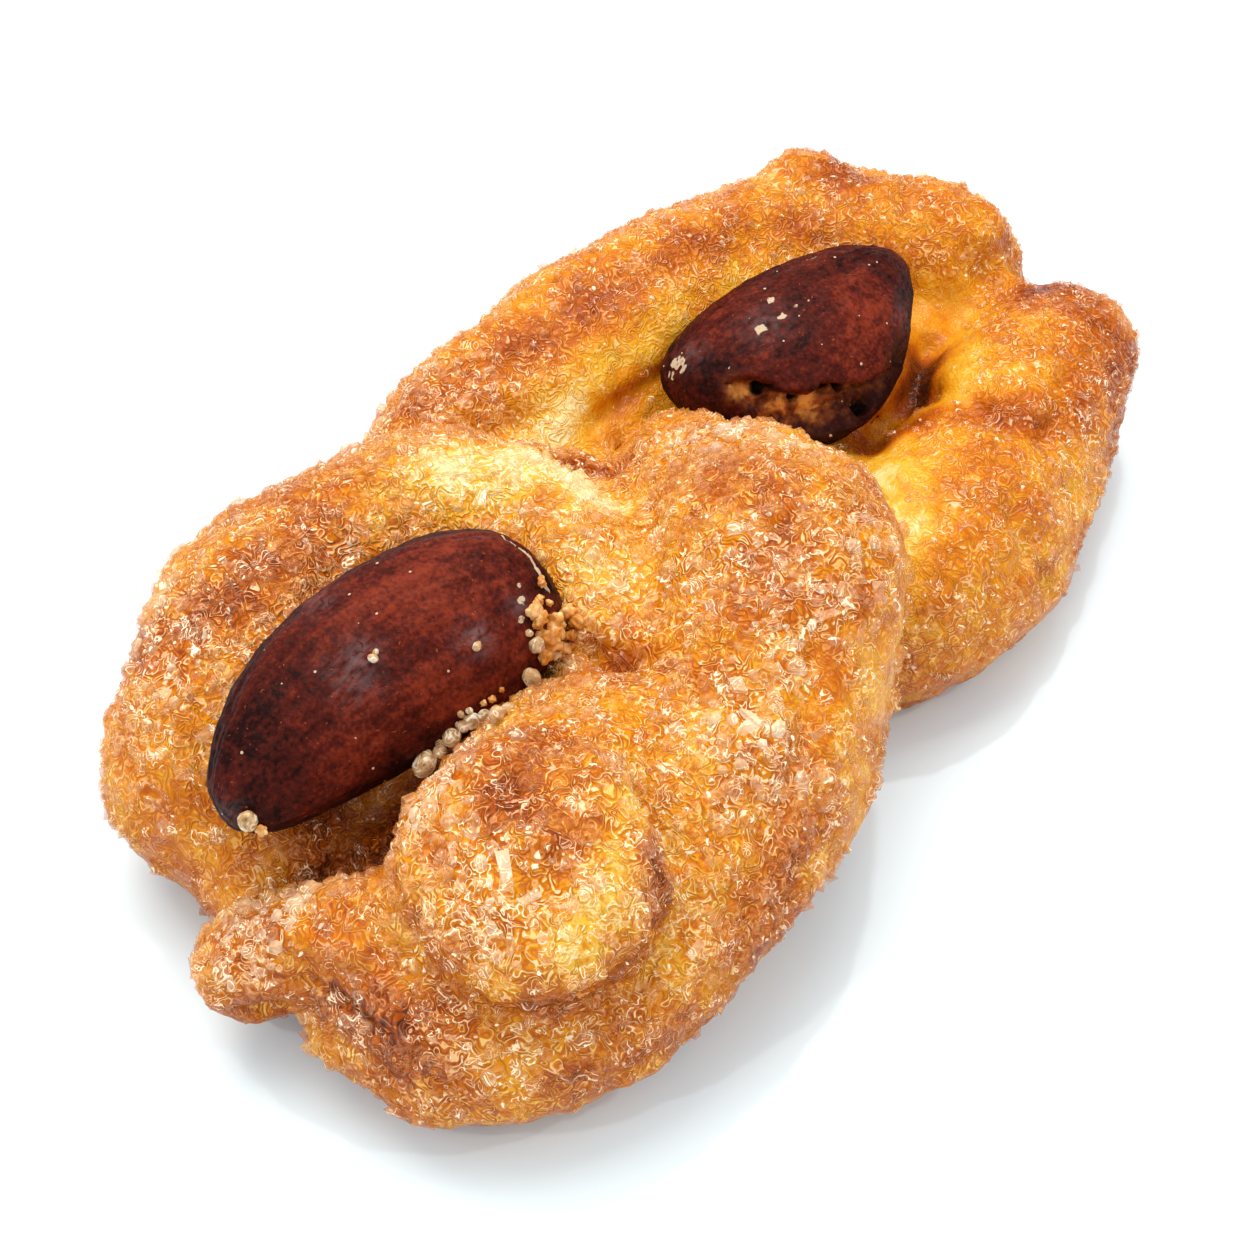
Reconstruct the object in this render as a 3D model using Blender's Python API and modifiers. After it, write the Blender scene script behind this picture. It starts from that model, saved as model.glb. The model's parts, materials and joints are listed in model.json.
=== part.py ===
"""A twisted almond biscuit: ropes of sugared dough twisted into two eyes, with a whole almond in each eye."""

import math
import random

import bmesh
import bpy
from mathutils import Matrix, Vector, noise
from mathutils.bvhtree import BVHTree

MM = 0.001

# The biscuit lies along Y, its pinched end at -Y and its far eye at +Y, on the tray at Z 0.
# A rope is a run of stations: where its middle lies (x, y, z) and its radius there, in millimetres.
ROPES = {
    "far_left": [
        (-16.1, -2.3, 5.0, 6.7),
        (-15.9, 4.3, 6.5, 7.4),
        (-14.0, 12.9, 7.0, 7.8),
        (-11.3, 21.1, 7.6, 7.8),
        (-8.7, 27.7, 7.8, 7.6),
        (-5.3, 32.3, 7.8, 7.3),
        (-1.3, 35.2, 7.4, 6.7),
        (2.3, 35.8, 7.4, 6.4),
    ],
    "far_right": [
        (11.9, 33.4, 7.2, 5.5),
        (12.8, 29.2, 7.2, 6.5),
        (14.0, 22.6, 6.6, 7.1),
        (14.8, 14.5, 6.0, 7.7),
        (13.5, 7.9, 5.5, 7.5),
        (9.7, 3.3, 5.5, 7.1),
        (3.8, -0.8, 7.0, 7.1),
    ],
    "near_left": [
        (0.3, -4.1, 12.0, 6.0),
        (-5.3, -5.8, 12.5, 6.4),
        (-10.8, -9.2, 11.8, 7.3),
        (-14.2, -15.5, 10.8, 8.0),
        (-14.1, -23.2, 9.2, 8.3),
        (-12.4, -28.8, 7.2, 7.7),
        (-7.8, -31.3, 5.0, 5.6),
    ],
    "saddle": [
        (-3.2, -7.4, 13.0, 5.6),
        (1.8, -9.8, 13.6, 6.0),
        (6.4, -12.6, 13.4, 5.6),
        (10.8, -16.4, 12.0, 6.0),
    ],
    "near_right": [
        (1.6, 1.7, 14.8, 4.8),
        (9.0, -1.7, 15.3, 8.2),
        (13.2, -8.4, 13.5, 8.6),
        (14.8, -14.9, 10.5, 8.7),
        (14.3, -22.4, 8.5, 8.6),
        (12.8, -29.4, 7.5, 8.0),
        (9.3, -34.2, 6.5, 7.3),
        (5.0, -35.7, 5.5, 5.4),
    ],
    "knob": [
        (8.8, -17.4, 13.0, 5.2),
        (9.8, -22.4, 14.4, 5.4),
        (10.8, -27.4, 15.2, 5.2),
    ],
    "pinched_lip": [
        (6.8, -33.8, 10.4, 4.0),
        (1.8, -36.4, 9.4, 3.5),
        (-2.2, -38.4, 7.2, 3.0),
    ],
    "far_floor": [
        (-3.2, 8.1, 5.0, 5.4),
        (1.8, 19.6, 5.0, 5.8),
        (4.4, 27.2, 5.0, 5.0),
        (2.2, 31.2, 4.8, 4.9),
    ],
    "far_web": [
        (-6.9, 2.6, 4.8, 5.2),
        (0.6, 4.1, 4.8, 5.2),
        (6.2, 8.1, 5.2, 5.4),
        (9.2, 16.1, 5.0, 5.2),
    ],
    "near_floor": [
        (0.0, -15.4, 5.0, 5.8),
        (0.4, -21.4, 4.4, 5.6),
        (0.8, -28.4, 4.2, 5.6),
    ],
}

# Lumps of dough on the ropes: (centre, half sizes, tilt about X in degrees, how flat the top is).
LOBES = {
    "knob_end": ((11.4, -30.0, 15.6), (7.6, 7.4, 4.9), 22.0, 0.6),
    "plateau": ((11.8, -18.9, 12.6), (6.0, 6.5, 5.4), 0.0, 1.0),
    "tip": ((-3.2, -38.9, 5.4), (3.3, 3.2, 3.5), 0.0, 1.0),
    "far_peak": ((-7.5, 33.1, 11.7), (4.6, 4.0, 4.0), 0.0, 0.8),
    "knob_shoulder": ((7.4, -23.0, 14.0), (4.9, 5.4, 4.8), 0.0, 0.9),
    "far_shoulder": ((1.6, 36.1, 9.2), (6.2, 5.0, 5.2), 0.0, 0.9),
    "far_corner": ((13.6, 32.9, 8.2), (4.6, 4.8, 4.6), 0.0, 0.8),
}

# Folds pull the crust in, and ridges, with a depth below 0, push it out:
# (stations x, y, z; half width; depth), in millimetres.
FOLDS = {
    "under_knob": ([(15.7, -25.0, 18.2), (17.4, -25.6, 15.2), (18.6, -28.2, 12.8), (18.8, -31.0, 11.2),
                    (17.7, -33.2, 10.4), (15.3, -35.6, 10.4), (11.8, -37.3, 11.0), (6.4, -37.0, 11.2)],
                   1.3, 1.7),
    "knob_rim": ([(12.4, -26.2, 21.0), (16.2, -28.0, 19.9), (18.4, -30.0, 17.6), (18.0, -33.4, 14.8),
                  (13.8, -36.8, 13.8)], 1.2, -0.45),
    "knob_dent": ([(14.2, -31.8, 19.6), (15.2, -32.8, 18.8)], 0.9, 0.5),
    "notch": ([(-4.4, -2.4, 17.8), (-2.9, -2.8, 17.3), (-0.8, -3.8, 16.8)], 1.5, 2.2),
    "saddle_seam": ([(-0.8, -3.8, 16.8), (3.1, -6.3, 17.9), (5.7, -9.0, 19.1), (7.6, -12.8, 18.2)], 1.5, 0.7),
    "saddle_pit": ([(6.0, -15.6, 17.0), (8.2, -16.0, 17.6)], 1.1, 2.6),
    "torn_seam": ([(17.6, -10.0, 20.5), (18.9, -12.6, 18.8), (20.3, -15.8, 17.2)], 0.9, 0.8),
    "side_edge": ([(13.2, 2.0, 20.2), (17.4, -2.8, 18.6), (20.8, -9.2, 15.0), (21.8, -14.4, 12.6)],
                  1.2, -0.5),
    "under_lip": ([(-0.8, -40.8, 5.0), (2.2, -40.8, 6.4), (6.0, -41.4, 7.4), (9.8, -42.0, 7.0)], 1.1, 0.9),
    "lip_edge": ([(-0.6, -39.0, 10.2), (4.1, -38.3, 12.0), (7.2, -37.8, 11.6)], 1.0, -0.6),
    "outer_step": ([(-21.9, -23.7, 8.5), (-19.5, -29.2, 11.0), (-14.6, -32.0, 12.6)], 1.1, 0.8),
    "far_ridge": ([(-18.5, 4.3, 13.5), (-16.9, 12.0, 14.5), (-13.8, 18.1, 15.5), (-10.6, 25.2, 15.3),
                   (-8.2, 32.1, 15.4)], 2.2, -0.6),
    "far_left_pit": ([(-14.0, 0.4, 12.5), (-12.3, 2.8, 12.3)], 1.5, 1.6),
    "far_wrinkle": ([(8.4, 21.8, 10.2), (14.0, 19.6, 13.4), (18.0, 20.6, 12.5)], 1.0, 0.9),
    "far_crack": ([(19.0, 13.0, 12.1), (21.5, 12.3, 10.0), (22.7, 13.0, 6.0)], 0.8, 0.8),
    "far_join": ([(8.9, 39.8, 9.0), (7.9, 35.8, 13.1), (5.7, 33.5, 10.0), (4.8, 32.1, 6.0)], 1.4, 1.6),
}
STEPS_BETWEEN_STATIONS = 6
CAP_RINGS = 6
BLEND_VOXEL = 0.8
BLEND_PASSES = 3
DOUGH_FACES = 7900

# Raised dough is uneven at three scales: (wavelength, height) in millimetres.
LUMPS = [(11.0, 0.9), (4.5, 0.45), (2.1, 0.3)]
LUMP_ORIGIN = Vector((2.8, -7.4, 0.0))

# Each almond: its blunt end and tip, the way its broad face looks, its size along, across and through,
# how far it bends and sways to the side, how much its tip end narrows, how full its ends are and
# how deep the skin along one edge is cracked.
ALMONDS = {
    "almond_near": {
        "blunt": (0.85, -12.9, 18.9),
        "tip": (-7.55, -35.6, 15.9),
        "faces": (0.48, -0.46, 1.0),
        "size": (23.6, 11.8, 8.3),
        "bend": 1.15,
        "sway": 0.8,
        "taper": 0.13,
        "waist": -0.13,
        "fullness": 0.88,
        "crack": 0.0,
    },
    "almond_far": {
        "blunt": (-1.86, 9.89, 12.38),
        "tip": (2.45, 26.43, 14.92),
        "faces": (0.12, -0.41, 1.0),
        "size": (19.1, 13.0, 8.6),
        "bend": 2.1,
        "sway": -0.87,
        "taper": 0.17,
        "waist": 0.06,
        "fullness": 1.03,
        "crack": 1.4,
    },
}
ALMOND_BEAK = 0.06
CRACK_FROM, CRACK_TO, CRACK_LIP, CRACK_FADE = (math.radians(turn) for turn in (124, 180, 9, 28))
ALMOND_SIDES, ALMOND_RINGS = 30, 18
ALMOND_CLEARANCE = 0.35

# The coarsest sugar crystals, baked on to the upper crust: their edges, their least spacing, how far they
# keep from the almonds, how low they lie and the half sides of the field they are strewn over, in millimetres.
SUGAR_EDGES = (0.75, 1.3)
SUGAR_SPACING = 4.5
SUGAR_FROM_ALMONDS = 2.0
SUGAR_LOWEST = 6.0
SUGAR_FIELD = (24.0, 43.0)
SUGAR_HEIGHT = 40.0
SUGAR_TRIES = 1500
SUGAR_SEED = 11
SUGAR_CREASE = math.radians(50)


def clear_scene():
    for obj in list(bpy.data.objects):
        bpy.data.objects.remove(obj, do_unlink=True)


def collection(name):
    made = bpy.data.collections.new(name)
    bpy.context.scene.collection.children.link(made)
    return made


def material(name, colour, roughness):
    made = bpy.data.materials.new(name)
    made.use_nodes = True
    shader = made.node_tree.nodes["Principled BSDF"]
    shader.inputs["Base Color"].default_value = (*colour, 1.0)
    shader.inputs["Roughness"].default_value = roughness
    shader.inputs["Metallic"].default_value = 0.0
    made.diffuse_color = (*colour, 1.0)
    return made


def evaluated_mesh(obj):
    bpy.context.view_layer.update()
    graph = bpy.context.evaluated_depsgraph_get()
    return bpy.data.meshes.new_from_object(obj.evaluated_get(graph))


def through_stations(stations, steps):
    """Points on a smooth curve through the stations, each with the rope's radius."""
    first = [2 * a - b for a, b in zip(stations[0], stations[1])]
    last = [2 * a - b for a, b in zip(stations[-1], stations[-2])]
    knots = [first, *stations, last]
    points = []
    for p0, p1, p2, p3 in zip(knots, knots[1:], knots[2:], knots[3:]):
        for i in range(steps):
            t = i / steps
            points.append([
                0.5 * (2 * b + (c - a) * t + (2 * a - 5 * b + 4 * c - d) * t * t
                       + (3 * b - 3 * c + d - a) * t ** 3)
                for a, b, c, d in zip(p0, p1, p2, p3)
            ])
    points.append(list(stations[-1]))
    return [(Vector(p[:3]), p[3]) for p in points]


def round_end(middle, radius, outward):
    """The rings that close a rope's end with half a ball."""
    rings = []
    for k in range(1, CAP_RINGS + 1):
        turn = math.radians(88) * k / CAP_RINGS
        rings.append((middle + outward * radius * math.sin(turn), radius * math.cos(turn)))
    return rings


def rope_mesh(name, stations):
    """A round-ended rope as a closed mesh, in metres."""
    body = through_stations(stations, STEPS_BETWEEN_STATIONS)
    start_way = (body[0][0] - body[1][0]).normalized()
    end_way = (body[-1][0] - body[-2][0]).normalized()
    start = round_end(*body[0], start_way)
    end = round_end(*body[-1], end_way)
    rings = start[::-1] + body + end
    data = bpy.data.curves.new(name, "CURVE")
    data.dimensions = "3D"
    data.bevel_depth = MM
    data.bevel_resolution = 6
    data.use_fill_caps = True
    spline = data.splines.new("POLY")
    spline.points.add(len(rings) - 1)
    for point, (middle, radius) in zip(spline.points, rings):
        point.co = (*(middle * MM), 1.0)
        point.radius = radius
    rope = bpy.data.objects.new(name, data)
    bpy.context.scene.collection.objects.link(rope)
    mesh = evaluated_mesh(rope)
    bpy.data.objects.remove(rope)
    return mesh


def add_lobe(shape, centre, half_sizes, tilt, flatness):
    """Adds a lump of dough to the mesh: an egg-like ball, or one with a flatter top and steeper sides."""
    ball = bmesh.ops.create_uvsphere(shape, u_segments=32, v_segments=16, radius=1.0)["verts"]
    for vertex in ball:
        vertex.co.z = math.copysign(abs(vertex.co.z) ** flatness, vertex.co.z)
    bmesh.ops.scale(shape, verts=ball, vec=Vector(half_sizes) * MM)
    bmesh.ops.rotate(shape, verts=ball, cent=(0, 0, 0), matrix=Matrix.Rotation(math.radians(tilt), 3, "X"))
    bmesh.ops.translate(shape, verts=ball, vec=Vector(centre) * MM)


def joined_ropes():
    """All the ropes in one mesh object, still overlapping."""
    shape = bmesh.new()
    for name, stations in ROPES.items():
        shape.from_mesh(rope_mesh(name, stations))
    for lobe in LOBES.values():
        add_lobe(shape, *lobe)
    bmesh.ops.remove_doubles(shape, verts=shape.verts, dist=1e-6)
    data = bpy.data.meshes.new("dough")
    shape.to_mesh(data)
    shape.free()
    return bpy.data.objects.new("dough", data)


def lump_height(place):
    """How far the risen crust stands out of the plain rope at a place, in millimetres."""
    return sum(height * noise.noise((place - LUMP_ORIGIN) / wavelength) for wavelength, height in LUMPS)


def distance_to_path(place, path):
    """How far a place is from a broken line, in the line's own units."""
    nearest = math.inf
    for start, end in zip(path, path[1:]):
        along = end - start
        share = min(max((place - start).dot(along) / along.length_squared, 0.0), 1.0)
        nearest = min(nearest, (place - start - along * share).length)
    return nearest


def fold_depth(place, folds):
    """How deep the folds pull the crust in at a place, in millimetres."""
    return sum(
        depth * math.exp(-((distance_to_path(place, path) / width) ** 2)) for path, width, depth in folds
    )


def smooth_path(stations):
    return [middle for middle, _ in through_stations([(*station, 0.0) for station in stations], 4)]


def raise_crust(mesh):
    """Moves each point along its normal by the crust's unevenness."""
    shape = bmesh.new()
    shape.from_mesh(mesh)
    shape.normal_update()
    folds = [(smooth_path(stations), width, depth) for stations, width, depth in FOLDS.values()]
    moves = [
        v.normal * (lump_height(v.co / MM) - fold_depth(v.co / MM, folds)) * MM for v in shape.verts
    ]
    for vertex, move in zip(shape.verts, moves):
        vertex.co += move
    shape.to_mesh(mesh)
    shape.free()


def baked_dough(parts):
    """The ropes baked into one piece, with a risen crust, before it is cut."""
    dough = joined_ropes()
    parts.objects.link(dough)
    blend = dough.modifiers.new("baked together", "REMESH")
    blend.mode = "VOXEL"
    blend.voxel_size = BLEND_VOXEL * MM
    soften = dough.modifiers.new("soft folds", "SMOOTH")
    soften.iterations = BLEND_PASSES
    soften.factor = 0.5
    dough.data = evaluated_mesh(dough)
    dough.modifiers.clear()
    raise_crust(dough.data)
    thin = dough.modifiers.new("fewer faces", "DECIMATE")
    thin.ratio = DOUGH_FACES / (2 * len(dough.data.polygons))
    thin.use_collapse_triangulate = True
    dough.data = evaluated_mesh(dough)
    dough.modifiers.clear()
    return dough


def almond_mesh(name, size, bend, sway, taper, waist, fullness, crack, extra):
    """An almond with its length on X, tip at +X and its broad faces to +Z and -Z, in metres."""
    length, width, thickness = (side / 2 + extra for side in size)
    shape = bmesh.new()
    bmesh.ops.create_uvsphere(shape, u_segments=ALMOND_SIDES, v_segments=ALMOND_RINGS, radius=1.0)
    bmesh.ops.rotate(shape, verts=shape.verts, cent=(0, 0, 0), matrix=Matrix.Rotation(math.pi / 2, 3, "Y"))
    for vertex in shape.verts:
        along, across, up = vertex.co
        ring = math.hypot(across, up)
        swelling = max(ring, 1e-6) ** (fullness - 1.0) * (1.0 - taper * along - waist * along * along)
        beak = ALMOND_BEAK * max(along, 0.0) ** 6
        turn = math.atan2(up, across)
        lip = min(max((turn - CRACK_FROM) / CRACK_LIP, 0.0), 1.0)
        fade = min(max((CRACK_TO - turn) / CRACK_FADE, 0.0), 1.0)
        torn = lip * fade * max(1.0 - (along - 0.1) ** 4 * 3.0, 0.0)
        swelling *= 1.0 - crack / width * torn
        vertex.co = (
            (along + beak) * length,
            across * swelling * width + bend * (along * along - 0.3) + sway * along ** 3,
            up * swelling * thickness,
        )
        vertex.co *= MM
    data = bpy.data.meshes.new(name)
    shape.to_mesh(data)
    shape.free()
    return data


def almond(name, blunt, tip, faces, extra=0.0, **form):
    """An almond laid with its ends towards the two places given and its broad face turned to faces."""
    blunt, tip, faces = Vector(blunt), Vector(tip), Vector(faces)
    length_way = (tip - blunt).normalized()
    side_way = faces.cross(length_way).normalized()
    face_way = length_way.cross(side_way)
    nut = bpy.data.objects.new(name, almond_mesh(name, extra=extra, **form))
    turn = Matrix((length_way, side_way, face_way)).transposed().to_4x4()
    nut.matrix_world = Matrix.Translation((blunt + tip) / 2 * MM) @ turn
    return nut


def clear_of(nuts, place):
    """Whether a place on the crust is far enough from every almond for a crystal."""
    for nut in nuts:
        inside = nut.matrix_world.inverted() @ place
        reach = [side / 2 + SUGAR_FROM_ALMONDS * MM for side in nut.dimensions]
        if sum((distance / limit) ** 2 for distance, limit in zip(inside, reach)) < 1.0:
            return False
    return True


def sugar_places(mesh, nuts):
    """Places on the upper crust where a crystal lands, strewn by a seeded draw and kept apart."""
    shape = bmesh.new()
    shape.from_mesh(mesh)
    crust = BVHTree.FromBMesh(shape)
    shape.free()
    draw = random.Random(SUGAR_SEED)
    places = []
    for _ in range(SUGAR_TRIES):
        x, y = (draw.uniform(-half, half) for half in SUGAR_FIELD)
        place, normal, _, _ = crust.ray_cast(Vector((x, y, SUGAR_HEIGHT)) * MM, Vector((0.0, 0.0, -1.0)))
        if place is None or normal.z < 0.3 or place.z < SUGAR_LOWEST * MM or not clear_of(nuts, place):
            continue
        if all((place - other).length > SUGAR_SPACING * MM for other in places):
            places.append(place)
    return places


def crystal(name, place, draw):
    """A sugar crystal: a box with uneven edges, turned at random."""
    shape = bmesh.new()
    bmesh.ops.create_cube(shape, size=MM)
    bmesh.ops.scale(shape, verts=shape.verts, vec=[draw.uniform(*SUGAR_EDGES) for _ in range(3)])
    turn = Vector([draw.uniform(-1.0, 1.0) for _ in range(3)]).to_track_quat("Z", "Y").to_matrix()
    bmesh.ops.rotate(shape, verts=shape.verts, cent=(0, 0, 0), matrix=turn)
    bmesh.ops.translate(shape, verts=shape.verts, vec=place)
    data = bpy.data.meshes.new(name)
    shape.to_mesh(data)
    shape.free()
    return bpy.data.objects.new(name, data)


def bake_on_sugar(dough, nuts):
    """Joins the coarsest crystals to the crust, about half of each standing out."""
    draw = random.Random(SUGAR_SEED + 1)
    sugar = collection("sugar")
    for number, place in enumerate(sugar_places(dough.data, nuts)):
        sugar.objects.link(crystal(f"crystal_{number}", place, draw))
    join = dough.modifiers.new("sugar", "BOOLEAN")
    join.operation = "UNION"
    join.solver = "EXACT"
    join.operand_type = "COLLECTION"
    join.collection = sugar
    dough.data = evaluated_mesh(dough)
    dough.modifiers.clear()
    for grain in list(sugar.objects):
        bpy.data.objects.remove(grain, do_unlink=True)
    bpy.data.collections.remove(sugar)


def tray():
    """The flat tray that the biscuit is baked on, as a block that trims what would sink below it."""
    shape = bmesh.new()
    bmesh.ops.create_cube(shape, size=0.2)
    bmesh.ops.translate(shape, verts=shape.verts, vec=(0, 0, -0.1))
    data = bpy.data.meshes.new("tray")
    shape.to_mesh(data)
    shape.free()
    return bpy.data.objects.new("tray", data)


def cut(obj, cutter, cutters):
    cutters.objects.link(cutter)
    cutter.hide_render = True
    cutter.display_type = "WIRE"
    step = obj.modifiers.new(cutter.name, "BOOLEAN")
    step.operation = "DIFFERENCE"
    step.solver = "EXACT"
    step.object = cutter


def main():
    clear_scene()
    parts = collection("twisted almond biscuit")
    cutters = collection("cutters")
    crust = material("crust", (0.78, 0.42, 0.13), 0.7)
    skin = material("almond_skin", (0.11, 0.03, 0.015), 0.45)

    nuts = []
    for name, laid in ALMONDS.items():
        nut = almond(name, **laid)
        nut.data.materials.append(skin)
        nut.data.shade_smooth()
        parts.objects.link(nut)
        nuts.append(nut)

    dough = baked_dough(parts)
    bake_on_sugar(dough, nuts)
    dough.data.materials.clear()
    dough.data.materials.append(crust)
    dough.data.shade_smooth()
    dough.data.set_sharp_from_angle(angle=SUGAR_CREASE)
    cut(dough, tray(), cutters)
    for name, laid in ALMONDS.items():
        cut(dough, almond(name + "_bed", **laid, extra=ALMOND_CLEARANCE), cutters)


main()
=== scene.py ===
import json
import math
import random

import bmesh
import bpy
import numpy as np
from mathutils import Matrix, Vector, noise
from mathutils.bvhtree import BVHTree

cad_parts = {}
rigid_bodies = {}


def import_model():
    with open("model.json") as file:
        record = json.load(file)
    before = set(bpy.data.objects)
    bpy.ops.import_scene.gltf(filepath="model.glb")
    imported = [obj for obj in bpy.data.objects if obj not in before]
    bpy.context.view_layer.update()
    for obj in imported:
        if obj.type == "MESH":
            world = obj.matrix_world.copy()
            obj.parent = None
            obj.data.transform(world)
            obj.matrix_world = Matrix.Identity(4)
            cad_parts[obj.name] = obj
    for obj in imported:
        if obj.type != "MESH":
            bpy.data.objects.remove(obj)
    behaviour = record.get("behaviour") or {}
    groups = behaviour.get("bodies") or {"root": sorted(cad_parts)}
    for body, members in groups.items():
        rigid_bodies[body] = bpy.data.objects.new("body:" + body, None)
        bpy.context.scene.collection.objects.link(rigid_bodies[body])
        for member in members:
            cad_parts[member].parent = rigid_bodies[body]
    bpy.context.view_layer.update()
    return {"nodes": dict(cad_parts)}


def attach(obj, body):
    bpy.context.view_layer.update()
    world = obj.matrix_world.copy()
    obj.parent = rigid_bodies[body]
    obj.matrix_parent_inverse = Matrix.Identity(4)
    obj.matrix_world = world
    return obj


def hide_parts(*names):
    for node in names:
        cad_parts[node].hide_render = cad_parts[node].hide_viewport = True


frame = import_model()
mm = 0.001
scene = bpy.context.scene
print("frame loaded:", sorted(frame["nodes"]))


# small helpers


def addObject(name, mesh):
    made = bpy.data.objects.new(name, mesh)
    scene.collection.objects.link(made)
    return made


def finishedMesh(obj):
    # the object's mesh with its modifiers applied
    bpy.context.view_layer.update()
    graph = bpy.context.evaluated_depsgraph_get()
    return bpy.data.meshes.new_from_object(obj.evaluated_get(graph))


def applyModifiers(obj):
    obj.data = finishedMesh(obj)
    obj.modifiers.clear()


def meshFrom(shape, name):
    mesh = bpy.data.meshes.new(name)
    shape.to_mesh(mesh)
    shape.free()
    return mesh


def readPoints(mesh, field="co"):
    flat = np.empty(len(mesh.vertices) * 3, np.float32)
    mesh.vertices.foreach_get(field, flat)
    return flat.reshape(-1, 3).astype(float)


def writePoints(mesh, places):
    mesh.vertices.foreach_set("co", places.astype(np.float32).ravel())
    mesh.update()


def paint(mesh, name, values, kind="FLOAT"):
    # a painted layer that the materials and the sugar read by name
    layer = mesh.attributes.get(name) or mesh.attributes.new(name, kind, "POINT")
    field = "value" if kind == "FLOAT" else "vector"
    layer.data.foreach_set(field, np.asarray(values, np.float32).ravel())


def smoothStep(low, high, x):
    t = np.clip((x - low) / (high - low), 0.0, 1.0)
    return t * t * (3.0 - 2.0 * t)


def smoothRun(stations, steps):
    # a smooth curve through every station; what stands after x, y, z runs along with it
    given = np.array(stations, float)
    if len(given) == 1:
        return given
    knots = np.vstack([2 * given[0] - given[1], given, 2 * given[-1] - given[-2]])
    run = []
    for a, b, c, d in zip(knots, knots[1:], knots[2:], knots[3:]):
        for t in np.arange(steps) / steps:
            run.append(0.5 * (2 * b + (c - a) * t + (2 * a - 5 * b + 4 * c - d) * t ** 2
                              + (3 * b - 3 * c + d - a) * t ** 3))
    run.append(given[-1])
    return np.array(run)


def distanceToRun(places, run):
    # how far each place is from a broken line
    if len(run) == 1:
        return np.linalg.norm(places - run[0], axis=1)
    nearest = np.full(len(places), np.inf)
    for start, end in zip(run, run[1:]):
        along = end - start
        share = np.clip((places - start) @ along / (along @ along), 0.0, 1.0)
        nearest = np.minimum(nearest, np.linalg.norm(places - start - share[:, None] * along, axis=1))
    return nearest


runSteps = 4  # stretches between two stations of a stroke or a run


def strokes(places, painted):
    # the sum of soft strokes: (stations, reach, amount) each
    total = np.zeros(len(places))
    for stations, reach, amount in painted.values():
        away = distanceToRun(places, smoothRun(stations, runSteps))
        total += amount * np.exp(-(away / reach) ** 2)
    return total


def lumps(places, scales, origin=(0.0, 0.0, 0.0)):
    # soft noise at several sizes: (wavelength, height) each
    total = np.zeros(len(places))
    for wavelength, height in scales:
        at = (places - np.array(origin)) / wavelength
        total += height * np.array([noise.noise(Vector(p)) for p in at])
    return total


# node trees


class Wire:
    # a value that runs through a shader's nodes; plain arithmetic on it adds the Math nodes

    def __init__(self, socket):
        self.socket = socket

    def __add__(self, other):
        return calc("ADD", self, other)

    def __sub__(self, other):
        return calc("SUBTRACT", self, other)

    def __rsub__(self, other):
        return calc("SUBTRACT", other, self)

    def __mul__(self, other):
        return calc("MULTIPLY", self, other)

    def __rtruediv__(self, other):
        return calc("DIVIDE", other, self)

    def __pow__(self, other):
        return calc("POWER", self, other)

    def graded(self, pair):
        # times the first of the pair, plus the second
        return self * pair[0] + pair[1]

    def held(self):
        # kept between 0 and 1
        return calc("ADD", self, 0.0, clamp=True)


def feed(socket, value):
    # wires an input to a node's output, or sets it
    if isinstance(value, Wire):
        value = value.socket
    if isinstance(value, bpy.types.NodeSocket):
        socket.id_data.links.new(value, socket)
    elif isinstance(value, tuple) and len(value) < len(socket.default_value):
        socket.default_value = (*value, 1.0)  # a colour is given without its alpha
    else:
        socket.default_value = value


def feedAll(made, given):
    for socket, value in given.items():
        feed(made.inputs[socket], value)


def addNode(tree, kind, given=None, **settings):
    # a new node; what is given goes to its inputs, by name or number
    made = tree.nodes.new(kind)
    for key, value in settings.items():
        setattr(made, key, value)
    feedAll(made, given or {})
    return made


def addSockets(tree, inputs, outputs):
    # the named inputs and outputs of a node group
    for way, sockets in (("INPUT", inputs), ("OUTPUT", outputs)):
        for name, kind in sockets.items():
            tree.interface.new_socket(name, in_out=way, socket_type="NodeSocket" + kind)


def wires(made):
    return {socket.name: Wire(socket) for socket in made.outputs}


def treeOf(*values):
    # the tree that the wires among these values belong to
    return next(value.socket.id_data for value in values if isinstance(value, Wire))


def calc(kind, *values, clamp=False):
    given = dict(enumerate(values))
    made = addNode(treeOf(*values), "ShaderNodeMath", given, operation=kind, use_clamp=clamp)
    return Wire(made.outputs[0])


def mixed(share, first, second):
    # one colour turning into another
    made = addNode(treeOf(share), "ShaderNodeMix", {0: share, 6: first, 7: second}, data_type="RGBA")
    return Wire(made.outputs[2])


def ramp(share, stops):
    made = addNode(treeOf(share), "ShaderNodeValToRGB", {"Fac": share})
    points = made.color_ramp.elements
    while len(points) < len(stops):
        points.new(0.5)
    for point, (place, colour) in zip(points, stops):
        point.position = place
        point.color = (*colour, 1.0)
    return Wire(made.outputs["Color"])


def band(source, low, high, way="SMOOTHSTEP"):
    # 0 below low, 1 above high
    given = {"Value": source, "From Min": low, "From Max": high}
    return wires(addNode(treeOf(source), "ShaderNodeMapRange", given, interpolation_type=way))["Result"]


def shifted(place, way, amount):
    # a place moved along another vector
    step = addNode(treeOf(place), "ShaderNodeVectorMath", {0: way, "Scale": amount}, operation="SCALE")
    moved = addNode(treeOf(place), "ShaderNodeVectorMath", {0: place, 1: step.outputs[0]}, operation="ADD")
    return Wire(moved.outputs[0])


def noiseAt(place, size, **more):
    # soft noise whose marks are about as wide as the size in millimetres
    given = {"Vector": place, "Scale": 1.0 / mm / size, **more}
    return wires(addNode(treeOf(place), "ShaderNodeTexNoise", given))


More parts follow.
